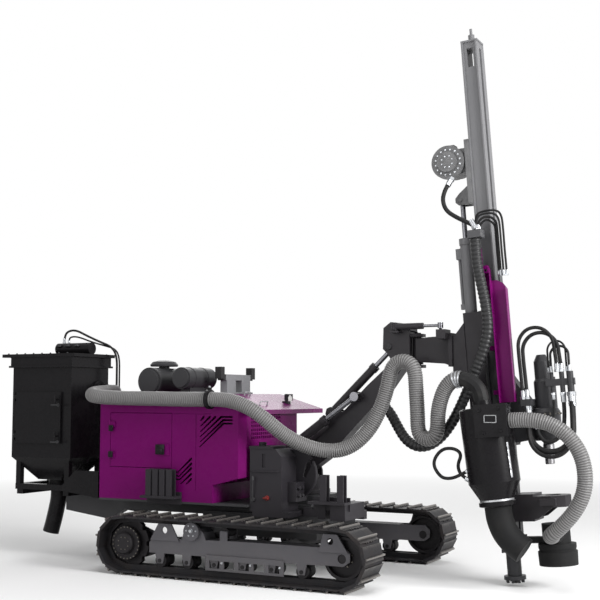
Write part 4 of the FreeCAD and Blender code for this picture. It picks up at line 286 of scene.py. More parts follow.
pale = enamel("pale_grey_enamel", "#A2A3A5", "#8A8B8D", "#8A8680", 0.42, 0.2)
print("paints", len(bpy.data.materials))

# %% [markdown]
# The mast's beam is grey above and nearly black below: the dark lower half is painted shade. The
# change is ragged: a noise moves its height.

# %% The mast's lower half
LIGHT_ABOVE = 3.25
DARK_BELOW = 2.55
RAGGED = 0.5
beam_grey = enamel("beam_enamel", "#6C6C6E", "#5C5C5F", "#85817C", 0.42, 0.18)
beam_place = object_place(beam_grey)
ragged = maths(beam_grey, "MULTIPLY_ADD", noise(beam_grey, beam_place, 3.0, 6.0), RAGGED,
               axes(beam_grey, beam_place)["Z"])
mast_painted_shade = ramp(beam_grey, ragged, DARK_BELOW + RAGGED / 2, LIGHT_ABOVE + RAGGED / 2, 1.0, 0.0)
# The lower mast takes a near-black colour as painted shade.
paint_over(beam_grey, mast_painted_shade, "#2B2B2D")
print("enamels", len(bpy.data.materials))

# %% [markdown]
# ## Bare and worn metal
#
# Track shoes and links are rolled or forged manganese steel. They leave the
# forge with dark scale, rust brown in patches, and the lugs wear bright where
# they bite the ground. The worn part follows the track's own loop: how far a
# point stands outside the loop says whether it is a lug's tip. Piston rods are
# hard chrome, polished, and the drill spindle is turned steel with fine tool
# marks across its length.

# %% Track steel
track_low, track_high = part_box("track_right")
LOOP_RADIUS = (track_high.z - track_low.z) / 2
LOOP_Z = (track_high.z + track_low.z) / 2
LOOP_REAR = track_low.x + LOOP_RADIUS
LOOP_FRONT = track_high.x - LOOP_RADIUS
LUG_WORN = 0.022


def track_steel(name, scale_colour, rust, worn):
    """Forged shoe steel: dark scale with rust, worn bright on the lugs' tips."""
    material, shader = new_finish(name, scale_colour, 0.55, metallic=0.55)
    place = object_place(material)
    axis = axes(material, place)
    near = add_node(material, "ShaderNodeClamp", {
        "Value": axis["X"], "Min": LOOP_REAR, "Max": LOOP_FRONT}).outputs["Result"]
    arm = add_node(material, "ShaderNodeCombineXYZ", {
        "X": maths(material, "SUBTRACT", axis["X"], near),
        "Z": maths(material, "SUBTRACT", axis["Z"], LOOP_Z)}).outputs["Vector"]
    grain = noise(material, place, 14.0, 8.0, 0.72)
    ragged = maths(material, "MULTIPLY_ADD", grain, 0.016, far_off(material, arm))
    tip = ramp(material, ragged, LOOP_RADIUS - LUG_WORN + 0.008, LOOP_RADIUS + 0.006, 0.0, 0.9)
    rusty = blend_colours(material, ramp(material, noise(material, place, 5.0, 6.0), 0.45, 0.75,
                                         0.0, 0.55), scale_colour, rust)
    join_to(material, blend_colours(material, tip, rusty, worn), shader, "Base Color")
    join_to(material, ramp(material, ragged, LOOP_RADIUS - LUG_WORN, LOOP_RADIUS, 0.62, 0.36),
            shader, "Roughness")
    add_bump(material, shader, noise(material, place, 90.0, 6.0, 0.7), 0.35, 0.003)
    return material


shoe_steel = track_steel("shoe_steel", "#1E1D20", "#332B27", "#77736F")
print("track loop radius", round(LOOP_RADIUS, 3), "rear and front axle",
      round(LOOP_REAR, 3), round(LOOP_FRONT, 3))

# %% [markdown]
# The other metals are simpler: one colour, fine marks for the roughness, and
# for the castings a grainy face with oil soaked into it in patches.

# %% Chrome, turned steel, zinc and cast iron
GLOSS_SPREAD = 0.08


def metal(name, colour, roughness, streak=(1.0, 1.0, 1.0), depth=0.0004):
    """Bare metal whose fine marks run across the axis with the largest scale in streak."""
    material, shader = new_finish(name, colour, roughness, metallic=1.0)
    place = add_node(material, "ShaderNodeMapping", {
        "Vector": object_place(material), "Scale": streak}).outputs["Vector"]
    marks = noise(material, place, 120.0, 4.0)
    join_to(material, ramp(material, marks, 0.3, 0.7, roughness - GLOSS_SPREAD / 2,
                           roughness + GLOSS_SPREAD), shader, "Roughness")
    add_bump(material, shader, marks, 0.3, depth)
    return material


chrome = metal("hard_chrome", "#6C6C70", 0.24, depth=0.0001)
turned = metal("turned_steel", "#8F8E90", 0.32, streak=(0.3, 0.3, 4.0))
zinc = metal("zinc_plate", "#A8AAAD", 0.34)
# Bright steel for the cyclone's clamp band, and for a painted highlight strip on its drum.
band_and_highlight_steel = metal("band_steel_and_painted_highlight", "#B4B5B8", 0.42)
old_bolt = metal("oiled_bolt_steel", "#6E6A64", 0.45)


def cast_iron(name, colour, oil, roughness=0.6):
    """A sand casting under thin paint: grainy, darker where oil has soaked in."""
    material, shader = new_finish(name, colour, roughness, metallic=0.15, gloss=0.2)
    place = object_place(material)
    soaked = ramp(material, noise(material, place, 6.0, 6.0), 0.42, 0.7, 0.0, 0.6)
    join_to(material, blend_colours(material, soaked, colour, oil), shader, "Base Color")
    join_to(material, ramp(material, soaked, 0.0, 0.6, roughness, roughness - 0.2),
            shader, "Roughness")
    add_bump(material, shader, noise(material, place, 320.0, 3.0, 0.6), 0.4, 0.001)
    return material


drive_iron = cast_iron("drive_iron", "#232123", "#121112")
chain_iron = cast_iron("chain_steel", "#464547", "#1E1D1D", 0.48)
motor_grey = cast_iron("motor_casting", "#6A6A6B", "#2C2C2D", 0.5)
print("metals ready")

# %% [markdown]
# ## Rubber and duct wall
#
# Hydraulic hose has a cover of synthetic rubber, calendered on, with a faint cloth print. The
# suction ducts are another thing: a polyurethane film over a wire helix, pale grey, and each turn
# of wire lifts the film to a rib. The film is a little glossy, and the valleys between the ribs
# are darkened as painted shade, so the mesh carries an attribute that says how high on a rib a
# point is.

# %% Rubber and duct film
CLOTH_PRINT = 420.0


def rubber(name, colour, dust, roughness=0.62):
    """Black synthetic rubber, grey where dust has settled on it."""
    material, shader = new_finish(name, colour, roughness, gloss=0.2)
    shader.inputs["Sheen Weight"].default_value = 0.02
    place = object_place(material)
    dusty = ramp(material, noise(material, place, 7.0, 7.0, 0.7), 0.45, 0.8, 0.0, 0.3)
    join_to(material, blend_colours(material, dusty, colour, dust), shader, "Base Color")
    add_bump(material, shader, noise(material, place, CLOTH_PRINT, 2.0), 0.25, 0.0008)
    return material


hose_rubber = rubber("hose_rubber", "#131314", "#4A4744")
skirt_rubber = rubber("skirt_rubber", "#101011", "#2E2C2A", 0.7)


def duct_film(name, ridge_colour, valley_shade_colour):
    """Polyurethane film over a wire helix: paler on the ribs, darker in the valleys as painted
    shade.
    """
    material, shader = new_finish(name, ridge_colour, 0.42, gloss=0.3)
    place = object_place(material)
    ridge = add_node(material, "ShaderNodeAttribute", attribute_name="ridge").outputs["Fac"]
    smear = noise(material, place, 5.0, 6.0, 0.65)
    # Painted shade: the valleys take the darker colour and the ribs the paler one, moved a little
    # by the smear noise.
    worn = maths(material, "MULTIPLY_ADD", smear, 0.35, ridge)
    join_to(material, blend_colours(material, ramp(material, worn, 0.1, 0.95, 0.0, 1.0),
                                    valley_shade_colour, ridge_colour), shader, "Base Color")
    join_to(material, ramp(material, smear, 0.3, 0.7, 0.34, 0.52), shader, "Roughness")
    add_bump(material, shader, noise(material, place, 160.0, 3.0), 0.2, 0.0012)
    return material


# The second colour of each film is painted shade for the valleys between the ribs.
duct_grey = duct_film("duct_film", "#737272", "#403F3E")
sleeve_black = duct_film("sleeve_film", "#242425", "#0E0E0F")
print("rubber and film ready")

# %% [markdown]
# ## A finish for each steel node
#
# A CAD node keeps its mesh; only its material slot changes. One short table
# says which finish each node wears on the real machine.

# %% Dress the nodes
DRESS = [
    (shoe_steel, "track_right track_left"),
    (drive_iron, "sprockets idlers rollers"),
    (frame_grey, "track_frames"),
    (chassis_grey, "chassis_frame"),
    (purple, "canopy_walls engine_door_right engine_door_left"),
    (roof_purple, "canopy_roof"),
    (channel_purple, "hose_channel"),
    (head_grey, "engine_block air_cleaners rotary_head"),
    (motor_grey, "feed_drive"),
    (rack_grey, "rod_racks front_cabinet work_lamp"),
    (rest_grey, "mast_rest"),
    (black, "collector_body collector_door collector_stand discharge_chute cyclone"),
    (boom_grey, "turret boom lift_barrels tilt_barrel knuckle arm swing_barrel cradle "
                "mast_table"),
    (beam_grey, "mast_beam"),
    (mast_grey, "compensation_barrel"),
    (chrome, "lift_rods tilt_rod swing_rod compensation_rod"),
    (chain_iron, "feed_chain"),
    (turned, "spindle"),
    (skirt_rubber, "dust_hood cyclone_boot"),
]
MODELLED = {"roof_duct", "boom_duct", "hood_duct", "mast_hose", "arch_hose", "head_hose",
            "small_hose", "loop_hose"}
undressed = set(NODES) - MODELLED
for finish, names in DRESS:
    for name in names.split():
        NODES[name].data.materials.clear()
        NODES[name].data.materials.append(finish)
        undressed.discard(name)
print("nodes with no finish yet:", sorted(undressed))

# %% [markdown]
# ## Hydraulic hoses
#
# A hydraulic hose is steel braid under black rubber. It is stiff, so between
# two fittings it leaves each one straight and swings round in an even arch.
# One smooth curve with a round bevel is such a hose: its control points are
# the corners of the route, and the spline rounds them by itself.

# %% Places on the machine and on its mast
MM = 0.001
FOOT_X = 2475
LEAN = math.radians(3.9)


def metres(points):
    """Points in millimetres as points in metres."""
    return [Vector(point) * MM for point in points]


def on_mast(ahead, left, up):
    """A point of the leaning mast, in its own millimetres, as a point in metres."""
    return Vector((FOOT_X + ahead * math.cos(LEAN) - up * math.sin(LEAN), left,
                   ahead * math.sin(LEAN) + up * math.cos(LEAN))) * MM


def mast_route(points):
    """Points in the mast's own millimetres as points in metres."""
    return [on_mast(*point) for point in points]


MAST_UP = (on_mast(0, 0, 1000) - on_mast(0, 0, 0)).normalized()
MAST_AHEAD = (on_mast(1000, 0, 0) - on_mast(0, 0, 0)).normalized()
print("mast leans", round(math.degrees(LEAN), 1), "degrees")

# %% [markdown]
# A curve can draw a hose by itself, or serve as the line that a duct follows.
# Its length is measured on the points that it draws.

# %% Curves and their lengths
LAID_STEPS = 12
FINE_STEPS = 24
HOSE_SIDES = 5


def route_curve(name, route, bevel=0.0, steps=LAID_STEPS, sides=HOSE_SIDES, smooth=True):
    """A curve whose control points are the route, in metres, with a round bevel."""
    data = bpy.data.curves.new(name, "CURVE")
    data.dimensions = "3D"
    data.resolution_u = steps
    data.bevel_depth = bevel
    data.bevel_resolution = sides
    data.use_fill_caps = True
    spline = data.splines.new("NURBS" if smooth else "POLY")
    spline.points.add(len(route) - 1)
    for point, place in zip(spline.points, route):
        point.co = (*place, 1.0)
    if smooth:
        spline.order_u = 3
        spline.use_endpoint_u = True
    return new_object(name, data)


def drawn_mesh(holder):
    """The mesh that an object draws, with its bevel and its modifiers."""
    depsgraph = bpy.context.evaluated_depsgraph_get()
    depsgraph.update()
    return bpy.data.meshes.new_from_object(holder.evaluated_get(depsgraph))


def curve_points(curve):
    """The points that a bare curve draws."""
    line = drawn_mesh(curve)
    points = [vert.co.copy() for vert in line.vertices]
    bpy.data.meshes.remove(line)
    return points


def lengths(points):
    """How far along the line each of its points lies."""
    far = [0.0]
    for before, after in zip(points, points[1:]):
        far.append(far[-1] + (after - before).length)
    return far


def route_length(route):
    """The length of the bare line that a hose's curve follows."""
    curve = route_curve("bare_line", route)
    points = curve_points(curve)
    bpy.data.objects.remove(curve)
    return lengths(points)[-1]


print("curves ready")

# %% [markdown]
# The routes come next. Those that ride up and down with the drill head or the
# mast are written in millimetres of the leaning mast, the others in the
# machine's own. A hose starts and ends on the face of its fitting.

# %% Routes of the hoses
ARCH_ROUTE = mast_route([
    (-12, -235, 3190.3), (-12, -235, 3258), (36, -228, 3306), (104, -214, 3306),
    (152, -200, 3258), (153, -190, 3180), (150, -183, 3070), (148, -179, 2960),
    (150, -177, 2850), (147, -176, 2760)])
HEAD_ROUTE = mast_route([
    (290, -165, 1640.3), (290, -165, 1740), (288, -168, 1862), (286, -174, 1992),
    (290, -180, 2123), (382, -186, 2215), (512, -186, 2215), (604, -184, 2123),
    (606, -166, 2010), (604, -134, 1925), (604, -134, 1860.3)])
SMALL_ROUTE = mast_route([
    (516, -134, 1860.3), (516, -134, 1910), (517, -130, 1974), (516, -122, 2040),
    (563, -114, 2087), (629, -114, 2087), (676, -122, 2040), (677, -130, 1974),
    (676, -134, 1910), (676, -134, 1860.3)])
LOOP_ROUTE = mast_route([
    (290, -165, 1579.7), (290, -165, 1480), (290, -205, 1285), (403, -218, 1172),
    (563, -218, 1172), (676, -200, 1285), (679, -170, 1440), (676, -134, 1590),
    (676, -134, 1679.7)])
FEED_ROUTE = metres([
    (1975, -160, 3700), (1962, -185, 3660), (1930, -225, 3585), (1908, -240, 3490),
    (1945, -250, 3385), (2050, -252, 3312), (2150, -252, 3262), (2212, -250, 3226),
    (2228, -248, 3196)])
PULSE_ROUTE = metres([
    (-2500, -240, 2264), (-2500, -240, 2330), (-2465, -236, 2395), (-2360, -220, 2410),
    (-2240, -180, 2345), (-2100, -120, 2275), (-1985, -70, 2225), (-1925, -50, 2120),
    (-1925, -50, 1900), (-1925, -50, 1300), (-1925, -50, 650)])
PULSE_LOW_ROUTE = metres([
    (-2420, -260, 2262), (-2420, -262, 2300), (-2390, -262, 2335), (-2300, -240, 2330),
    (-2180, -170, 2275), (-2060, -90, 2235), (-1965, -20, 2200), (-1920, -10, 2100),
    (-1920, -10, 1900), (-1920, -10, 1300), (-1920, -10, 650)])
HEAD_LOW_ROUTE = mast_route([
    (604, -134, 1679.7), (604, -136, 1600), (606, -165, 1460), (590, -205, 1325),
    (505, -222, 1255), (425, -222, 1262), (374, -212, 1330), (370, -190, 1392),
    (370, -126, 1396)])
HEAD_INNER_ROUTE = mast_route([
    (516, -134, 1679.7), (516, -136, 1600), (517, -165, 1480), (500, -200, 1385),
    (455, -212, 1345), (412, -206, 1370), (402, -190, 1440), (400, -128, 1470)])
CYCLONE_LOOP_ROUTE = metres([
    (2254, -500, 941), (2155, -500, 980), (2110, -500, 1074), (2158, -500, 1179),
    (2085, -500, 1230), (1964, -500, 1219), (1878, -500, 1094), (1952, -500, 974),
    (2035, -500, 959), (2128, -500, 988), (2256, -500, 1061)])
HOSES = [("arch_hose", ARCH_ROUTE, "mast", 0.022, 0.761),
         ("head_hose", HEAD_ROUTE, "head", 0.034, 1.119),
         ("small_hose", SMALL_ROUTE, "head", 0.022, 0.548),
         ("loop_hose", LOOP_ROUTE, "head", 0.052, 1.152)]
print("routes of", len(HOSES), "thick hoses and of the thin ones")

# %% [markdown]
# A hose is laid along its route, gets its rubber, and says what carries it and
# how long it is. Four thick ones are in the steel model too: one arches over
# the mast's rear corner, and three feed the rotary head. They take their
# nodes' places, with the lengths that the machine's record gives.

# %% Four thick hoses


def lay_hose(name, route, body, across, real_length=None):
    """A hose as a curve with a round bevel, on its body, with its real length printed."""
    hose = route_curve(name, route, across / 2)
    hose.data.materials.append(hose_rubber)
    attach(hose, body)
    real_length = real_length or round(route_length(route), 3)
    print(name, "length", real_length, "m")
    return hose


for node, route, body, across, real_length in HOSES:
    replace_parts(lay_hose(node + "_cover", route, body, across, real_length), node)

# %% [markdown]
# ## Thin hoses beside the thick ones
#
# The photograph shows many more hoses: the bundle that arches over the
# manifold, the one that feeds the motor, more lines over and under the head, a
# loose loop behind the cyclone, and the air lines from the dust collector's
# pulse valves. Each is the same kind of curve, with its length measured from
# it, and some are a neighbour's route moved aside.

# %% Thin hoses
EXTRA_HOSES = [("feed_hose", FEED_ROUTE, "mast", 0.040),
               ("pulse_hose_high", PULSE_ROUTE, "base", 0.024),
               ("pulse_hose_low", PULSE_LOW_ROUTE, "base", 0.018),
               ("head_line_low", HEAD_LOW_ROUTE, "head", 0.036),
               ("head_line_inner", HEAD_INNER_ROUTE, "head", 0.024)]
ARCHES = [("a", 0.030, -0.012, 0.030), ("b", -0.020, 0.016, -0.026), ("c", 0.055, 0.0, 0.056)]
for letter, wider, nearer, higher in ARCHES:
    shifted = [point + MAST_AHEAD * (wider if index > 2 else -wider * 0.4)
               + Vector((0, nearer, 0)) + MAST_UP * (higher if 0 < index < 5 else 0)
               for index, point in enumerate(ARCH_ROUTE)]
    EXTRA_HOSES.append(("arch_line_" + letter, shifted, "mast", 0.020))


def beside(route, ahead, nearer, higher):
    """A route beside another one, which leaves it most in its middle."""
    last = len(route) - 1
    return [point + MAST_AHEAD * ahead + Vector((0, nearer, 0))
            + MAST_UP * higher * math.sin(math.pi * index / last)
            for index, point in enumerate(route)]


EXTRA_HOSES += [("head_line_high", beside(HEAD_ROUTE, -0.034, -0.012, 0.050), "head", 0.032),
                ("head_line_back", beside(SMALL_ROUTE, -0.026, 0.012, 0.050), "head", 0.018),
                ("loop_line_low", beside(LOOP_ROUTE, 0.006, -0.046, -0.044), "head", 0.034),
                ("cyclone_loop", CYCLONE_LOOP_ROUTE, "mast", 0.030)]
for name, route, body, across in EXTRA_HOSES:
    lay_hose(name, route, body, across)

# %% [markdown]
# ## Ribbed suction ducts
#
# A duct is a tube with a rib every 20 mm or so. Drawing each rib along a curved path would mean
# many rings in odd places. It is simpler to spin one wavy line round the X axis, which makes a
# straight duct, and to let a Curve modifier lay that straight duct along a smooth curve. The duct
# to the dust catcher crosses five joints, so it is cut into lengths in its straight state, where
# the cuts are square, and each length is named after two neighbouring bodies.

# %% Ribbed duct
RIB_PITCH = 0.0205
RIB_HEIGHT = 0.0052
RIB_POINTS = 6
ROUND_STEPS = 32


def ribbed_piece(name, curve, start, end, radius, finish, pitch=RIB_PITCH):
    """One length of duct, from start to end along the curve, with a rib at each pitch."""
    mesh = bpy.data.meshes.new(name)
    shape = bmesh.new()
    ridge = shape.verts.layers.float.new("ridge")
    ribs = max(2, round((end - start) / pitch))
    step = (end - start) / (ribs * RIB_POINTS)
    line = []
    for index in range(ribs * RIB_POINTS + 1):
        lift = (1 - math.cos(2 * math.pi * index / RIB_POINTS)) / 2
        vert = shape.verts.new((start + index * step, 0, radius - RIB_HEIGHT * (1 - lift)))
        vert[ridge] = lift
        line.append(vert)
    for before, after in zip(line, line[1:]):
        shape.edges.new((before, after))
    bmesh.ops.spin(shape, geom=shape.verts[:] + shape.edges[:], cent=(0, 0, 0), axis=(1, 0, 0),
                   angle=2 * math.pi, steps=ROUND_STEPS, use_merge=True)
    bmesh.ops.recalc_face_normals(shape, faces=shape.faces[:])
    for face in shape.faces:
        face.smooth = True
    shape.to_mesh(mesh)
    shape.free()
    straight = new_object(name + "_straight", mesh)
    bend = straight.modifiers.new("along", "CURVE")
    bend.object = curve
    bend.deform_axis = "POS_X"
    bent = drawn_mesh(straight)
    bpy.data.objects.remove(straight)
    piece = new_object(name, bent)
    bent.materials.clear()
    bent.materials.append(finish)
    return piece


print("duct helper ready, a rib every", RIB_PITCH * 1000, "mm")

# %% [markdown]
# The first duct lies still over the roof, from the collector's spigot to the
# strap where the next one begins.

# %% The duct over the roof
ROOF_ROUTE = metres([
    (-1944.7, -200, 1735), (-1800, -200, 1735), (-1744, -410, 1733), (-1740, -700, 1716),
    (-1610, -866, 1686), (-1390, -856, 1668), (-960, -840, 1662), (-540, -836, 1654),
    (-200, -836, 1654)])
DUCT_RADIUS = 0.072
roof_curve = route_curve("roof_route", ROOF_ROUTE, steps=FINE_STEPS)
roof_length = lengths(curve_points(roof_curve))[-1]
roof_duct = ribbed_piece("roof_duct_ribbed", roof_curve, 0.0, roof_length, DUCT_RADIUS,
                         duct_grey)
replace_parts(roof_duct, "roof_duct")
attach(roof_duct, "base")
bpy.data.objects.remove(roof_curve)
print("roof duct", round(roof_length, 2), "m")

# %% [markdown]
# ## Lengths of duct cut at the joints
#
# Each length is cut where the duct's line comes nearest to a chosen point.

# %% Routes of the bending lengths
BOOM_ROUTE = metres([
    (-199.7, -836, 1654), (-40, -836, 1654), (179, -842, 1592), (330, -805, 1490),
    (470, -690, 1335), (620, -560, 1225), (800, -450, 1168), (998, -370, 1190),
    (1180, -320, 1345), (1300, -302, 1560), (1375, -300, 1770), (1405, -300, 1930),
    (1478, -303, 2003), (1582, -310, 2003), (1655, -320, 1925), (1668, -330, 1740),
    (1684, -342, 1530), (1690, -350, 1360), (1749, -358, 1300), (1832, -366, 1300),
    (1888, -374, 1362), (1894, -380, 1560), (1955, -390, 1740), (2045, -400, 1832),
    (2150, -406, 1842), (2242, -410, 1795), (2302, -410, 1735), (2314, -410, 1641)])
BOOM_CUTS = [(-199.7, -836, 1654), (450, -710, 1355), (1000, -370, 1192), (1500, -304, 1990),
             (1790, -362, 1305), (2130, -404, 1840)]
BOOM_BODIES = ["base", "turret", "boom", "knuckle", "arm", "mast"]
SLEEVE_ROUTE = [on_mast(-42, -252, 3119.7), on_mast(-42, -252, 3000)] + metres([
    (2238, -256, 2870), (2276, -260, 2690), (2318, -262, 2490), (2340, -262, 2290),
    (2300, -262, 2110), (2222, -258, 1940), (2146, -248, 1770), (2062, -230, 1600),
    (1972, -212, 1450), (1868, -202, 1318), (1748, -196, 1232), (1610, -176, 1214),
    (1480, -140, 1280), (1374, -84, 1410), (1280.3, -25, 1533.9), (1199.2, -25, 1615.0)])
SLEEVE_CUTS = [(2254, -252, 3113), (2062, -230, 1600), (1700, -190, 1225), (1199, -25, 1615)]
SLEEVE_BODIES = ["mast", "arm", "knuckle", "boom"]
HOOD_ROUTE = metres([
    (2600.1, -540, 1476.9), (2759.5, -540, 1487.8), (2925, -530, 1462), (3080, -515, 1372),
    (3185, -498, 1225), (3222, -480, 1060), (3208, -462, 890), (3130, -446, 735),
    (3010, -425, 600), (2868.1, -390.3, 482.8), (2868.1, -205.3, 482.8)])
HOOD_CUTS = [(2600, -540, 1477), (2868, -205, 483)]
BOOM_DUCT_RADIUS = DUCT_RADIUS - 0.002
HOOD_RADIUS = 0.066
SLEEVE_RADIUS = 0.050
SLEEVE_PITCH = 0.040
print("routes of", len(BOOM_ROUTE), len(HOOD_ROUTE), len(SLEEVE_ROUTE), "points")

# %% [markdown]
# One function cuts a route into its lengths. The boom's duct is cut into five, the black sleeve
# along it into three, and the duct from the hood is one length.

# %% Cut the lengths and bend them


def bending_lengths(node, route, cuts, bodies, radius, finish, pitch=RIB_PITCH):
    """Ribbed lengths along one route, each named after the two bodies that one joint joins."""
    curve = route_curve(node + "_route", route, steps=FINE_STEPS)
    line = curve_points(curve)
    far = lengths(line)
    marks = [min(range(len(line)), key=lambda index: (line[index] - cut).length)
             for cut in metres(cuts)]
    marks[0] = 0
    for first, last, before, after in zip(marks, marks[1:], bodies, bodies[1:]):
        piece = ribbed_piece(node + "_" + before + "_" + after, curve, far[first], far[last],
                             radius, finish, pitch)
        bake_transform(piece)
        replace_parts(piece, node)
        print(piece.name, round(far[last] - far[first], 2), "m")
    bpy.data.objects.remove(curve)
    return line, marks


boom_line, boom_marks = bending_lengths("boom_duct", BOOM_ROUTE, BOOM_CUTS, BOOM_BODIES,
                                        BOOM_DUCT_RADIUS, duct_grey)
bending_lengths("hood_duct", HOOD_ROUTE, HOOD_CUTS, ["mast", "hood"], HOOD_RADIUS,
                duct_grey)
bending_lengths("mast_hose", SLEEVE_ROUTE, SLEEVE_CUTS, SLEEVE_BODIES, SLEEVE_RADIUS,
                sleeve_black, SLEEVE_PITCH)

# %% [markdown]
# ## Helpers for small hardware
#
# Bolts, bands and handles sit on steel faces that are already there. So one
# helper shoots a straight line at a node and says where it lands and which way
# the face looks, and others add a round or a hex bolt to a mesh that is being
# built. Each kind of hardware on one body becomes one joined piece.

# %% Lines at a node, rounds and bolts
# Shares of the distance between a bolt head's flats.
CORNER_RADIUS = 0.577
WASHER_RADIUS = 0.66
WASHER_HEIGHT = 0.12
trees = {}


def touch(node, start, way):
    """Where a straight line from start first meets a node, and which way that face looks."""
    if node not in trees:
        mesh = NODES[node].data
        trees[node] = BVHTree.FromPolygons([vert.co for vert in mesh.vertices],
                                           [face.vertices for face in mesh.polygons])
    place, normal, _, _ = trees[node].ray_cast(Vector(start), Vector(way).normalized())
    return place, normal


def standing(place, way, turn=0.0):
    """The matrix that stands a shape made on +Z upon a place, along a direction."""
    stand = Vector((0, 0, 1)).rotation_difference(Vector(way)).to_matrix().to_4x4()
    return Matrix.Translation(place) @ stand @ Matrix.Rotation(turn, 4, "Z")


def add_round(shape, place, way, radius, height, steps=16, top=None):
    """A round, or a cone frustum with another top radius, standing on a place."""
    bmesh.ops.create_cone(shape, cap_ends=True, segments=steps, radius1=radius,
                          radius2=radius if top is None else top, depth=height,
                          matrix=standing(place, way) @ Matrix.Translation((0, 0, height / 2)))


def add_bolt(shape, place, way, across, turn=0.0):
    """A hex bolt's head on its washer."""
    add_round(shape, place, way, across * WASHER_RADIUS, across * WASHER_HEIGHT, 14)
    raised = Vector(place) + Vector(way) * across * WASHER_HEIGHT
    for height, top in ((0.5, CORNER_RADIUS), (0.1, 0.47)):
        bmesh.ops.create_cone(
            shape, cap_ends=True, segments=6, radius1=across * CORNER_RADIUS,
            radius2=across * top, depth=across * height,
            matrix=standing(raised, way, turn) @ Matrix.Translation((0, 0, across * height / 2)))
        raised = raised + Vector(way) * across * height


print("lines, rounds and bolts ready")

# %% [markdown]
# Three more shapes are enough for all the rest: a plate with rounded edges, a
# flat band round a tube, and a bar or pipe that bends along its points.

# %% Plates, bands and bars
BAR_STEPS = 6
BAR_SIDES = 3


def add_plate(shape, centre, size, edge=0.002, turn=None):
    """A plate or block of a size, its edges rounded."""
    matrix = Matrix.Translation(centre) @ (turn or Matrix.Identity(4))
    made = bmesh.ops.create_cube(shape, size=1.0, matrix=matrix @ Matrix.Diagonal((*size, 1)))
    edges = {rim for vert in made["verts"] for rim in vert.link_edges}
    bmesh.ops.bevel(shape, geom=list(edges), offset=edge, offset_type="OFFSET", segments=2,
                    profile=0.5, affect="EDGES", material=-1)


def add_band(shape, place, way, radius, width, thick, steps=40):
    """A flat band round a tube: a small rectangle spun round the tube's line."""
    corners = [shape.verts.new((reach, 0, up)) for reach, up in (
        (radius, -width / 2), (radius + thick, -width / 2), (radius + thick, width / 2),
        (radius, width / 2))]
    edges = [shape.edges.new((corners[index - 1], corners[index])) for index in range(4)]
    made = bmesh.ops.spin(shape, geom=corners + edges, cent=(0, 0, 0), axis=(0, 0, 1),
                          angle=2 * math.pi, steps=steps, use_merge=True)
    ring = set(corners)
    reached = list(corners)
    while reached:
        for rim in reached.pop().link_edges:
            for vert in rim.verts:
                if vert not in ring:
                    ring.add(vert)
                    reached.append(vert)
    bmesh.ops.transform(shape, matrix=standing(place, way), verts=list(ring))


def add_bar(shape, points, radius, smooth=True):
    """A round bar or pipe bent along its points."""
    holder = route_curve("bar", points, radius, BAR_STEPS, BAR_SIDES, smooth)
    mesh = drawn_mesh(holder)
    shape.from_mesh(mesh)
    bpy.data.objects.remove(holder)
    bpy.data.meshes.remove(mesh)


print("plates, bands and bars ready")

# %% [markdown]
# A bolt needs a face to sit on. The next helpers shoot at a node and add the
# bolt only where the face looks the right way, so no bolt hangs in the air.

# %% Bolts on faces, and the finished piece
RIGHT = Vector((0, -1, 0))
LEFT = Vector((0, 1, 0))
AHEAD = Vector((1, 0, 0))
ABOVE = Vector((0, 0, 1))
SIDES = ((-1, RIGHT), (1, LEFT))
SQUARE = 0.9
SHARP_ANGLE = math.radians(35)

# Where the lines start, in metres: beside the tracks, on the right, and above.
OUTSIDE = 1.4
NEAR_SIDE = -1.2
OVERHEAD = 3.0


def bolt_down(shape, node, start, way, across, turn=0.0, square=SQUARE, clear=0.0):
    """Adds a bolt where a line from start meets a face that looks along way; 1 if it does."""
    seat, face = touch(node, start, -way)
    if seat is None or face.dot(way) <= square or (seat - Vector(start)).length <= clear:
        return 0
    add_bolt(shape, seat, way, across, turn)
    return 1


def in_ring(radius, angle):
    """The step from a ring's middle to a place on it, in the plane of X and Z."""
    return Vector((radius * math.cos(angle), 0, radius * math.sin(angle)))


def bolt_ring(shape, node, centre, way, radius, holes, across):
    """Adds a ring of bolts round a centre beside a node."""
    for hole in range(holes):
        angle = 2 * math.pi * (hole + 0.5) / holes
        bolt_down(shape, node, centre + in_ring(radius, angle), way, across, angle)


def finish_piece(name, shape, finish, body):
    """Turns a built mesh into a piece with its finish, slot and body."""
    bmesh.ops.remove_doubles(shape, verts=shape.verts[:], dist=0.00001)
    bmesh.ops.recalc_face_normals(shape, faces=shape.faces[:])
    for face in shape.faces:
        face.smooth = True
    for rim in shape.edges:
        rim.smooth = len(rim.link_faces) == 2 and rim.calc_face_angle() < SHARP_ANGLE
    mesh = bpy.data.meshes.new(name)
    shape.to_mesh(mesh)
    shape.free()
    piece = new_object(name, mesh)
    mesh.materials.append(finish)
    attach(piece, body)
    print(name, len(mesh.polygons), "faces")
    return piece


print("bolts sit on faces within", round(math.degrees(math.acos(SQUARE))), "degrees")

# %% [markdown]
# ## Duct clamps and the rubber elbow
#
# A duct is held on each spigot by worm-drive bands of steel strip. Over the
# cyclone the grey duct ends under three of them on a black rubber elbow, which
# is smooth and thick-walled, and turns down into the cyclone's collar. The
# elbow is the same curve with a plain round bevel, cut where the ribs end.

# %% Elbow and bands
ELBOW_RADIUS = 0.068
BAND_THICK = 0.0018
BAND_WIDTH = 0.014
STRAP_PLACE = Vector((-0.235, -0.836, 1.654))
ribs_end = boom_marks[-1]
elbow_points = boom_line[ribs_end:]
shape = bmesh.new()
add_bar(shape, elbow_points[::12] + [elbow_points[-1]], ELBOW_RADIUS)
elbow = finish_piece("boom_duct_elbow", shape, hose_rubber, "mast")
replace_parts(elbow, "boom_duct")

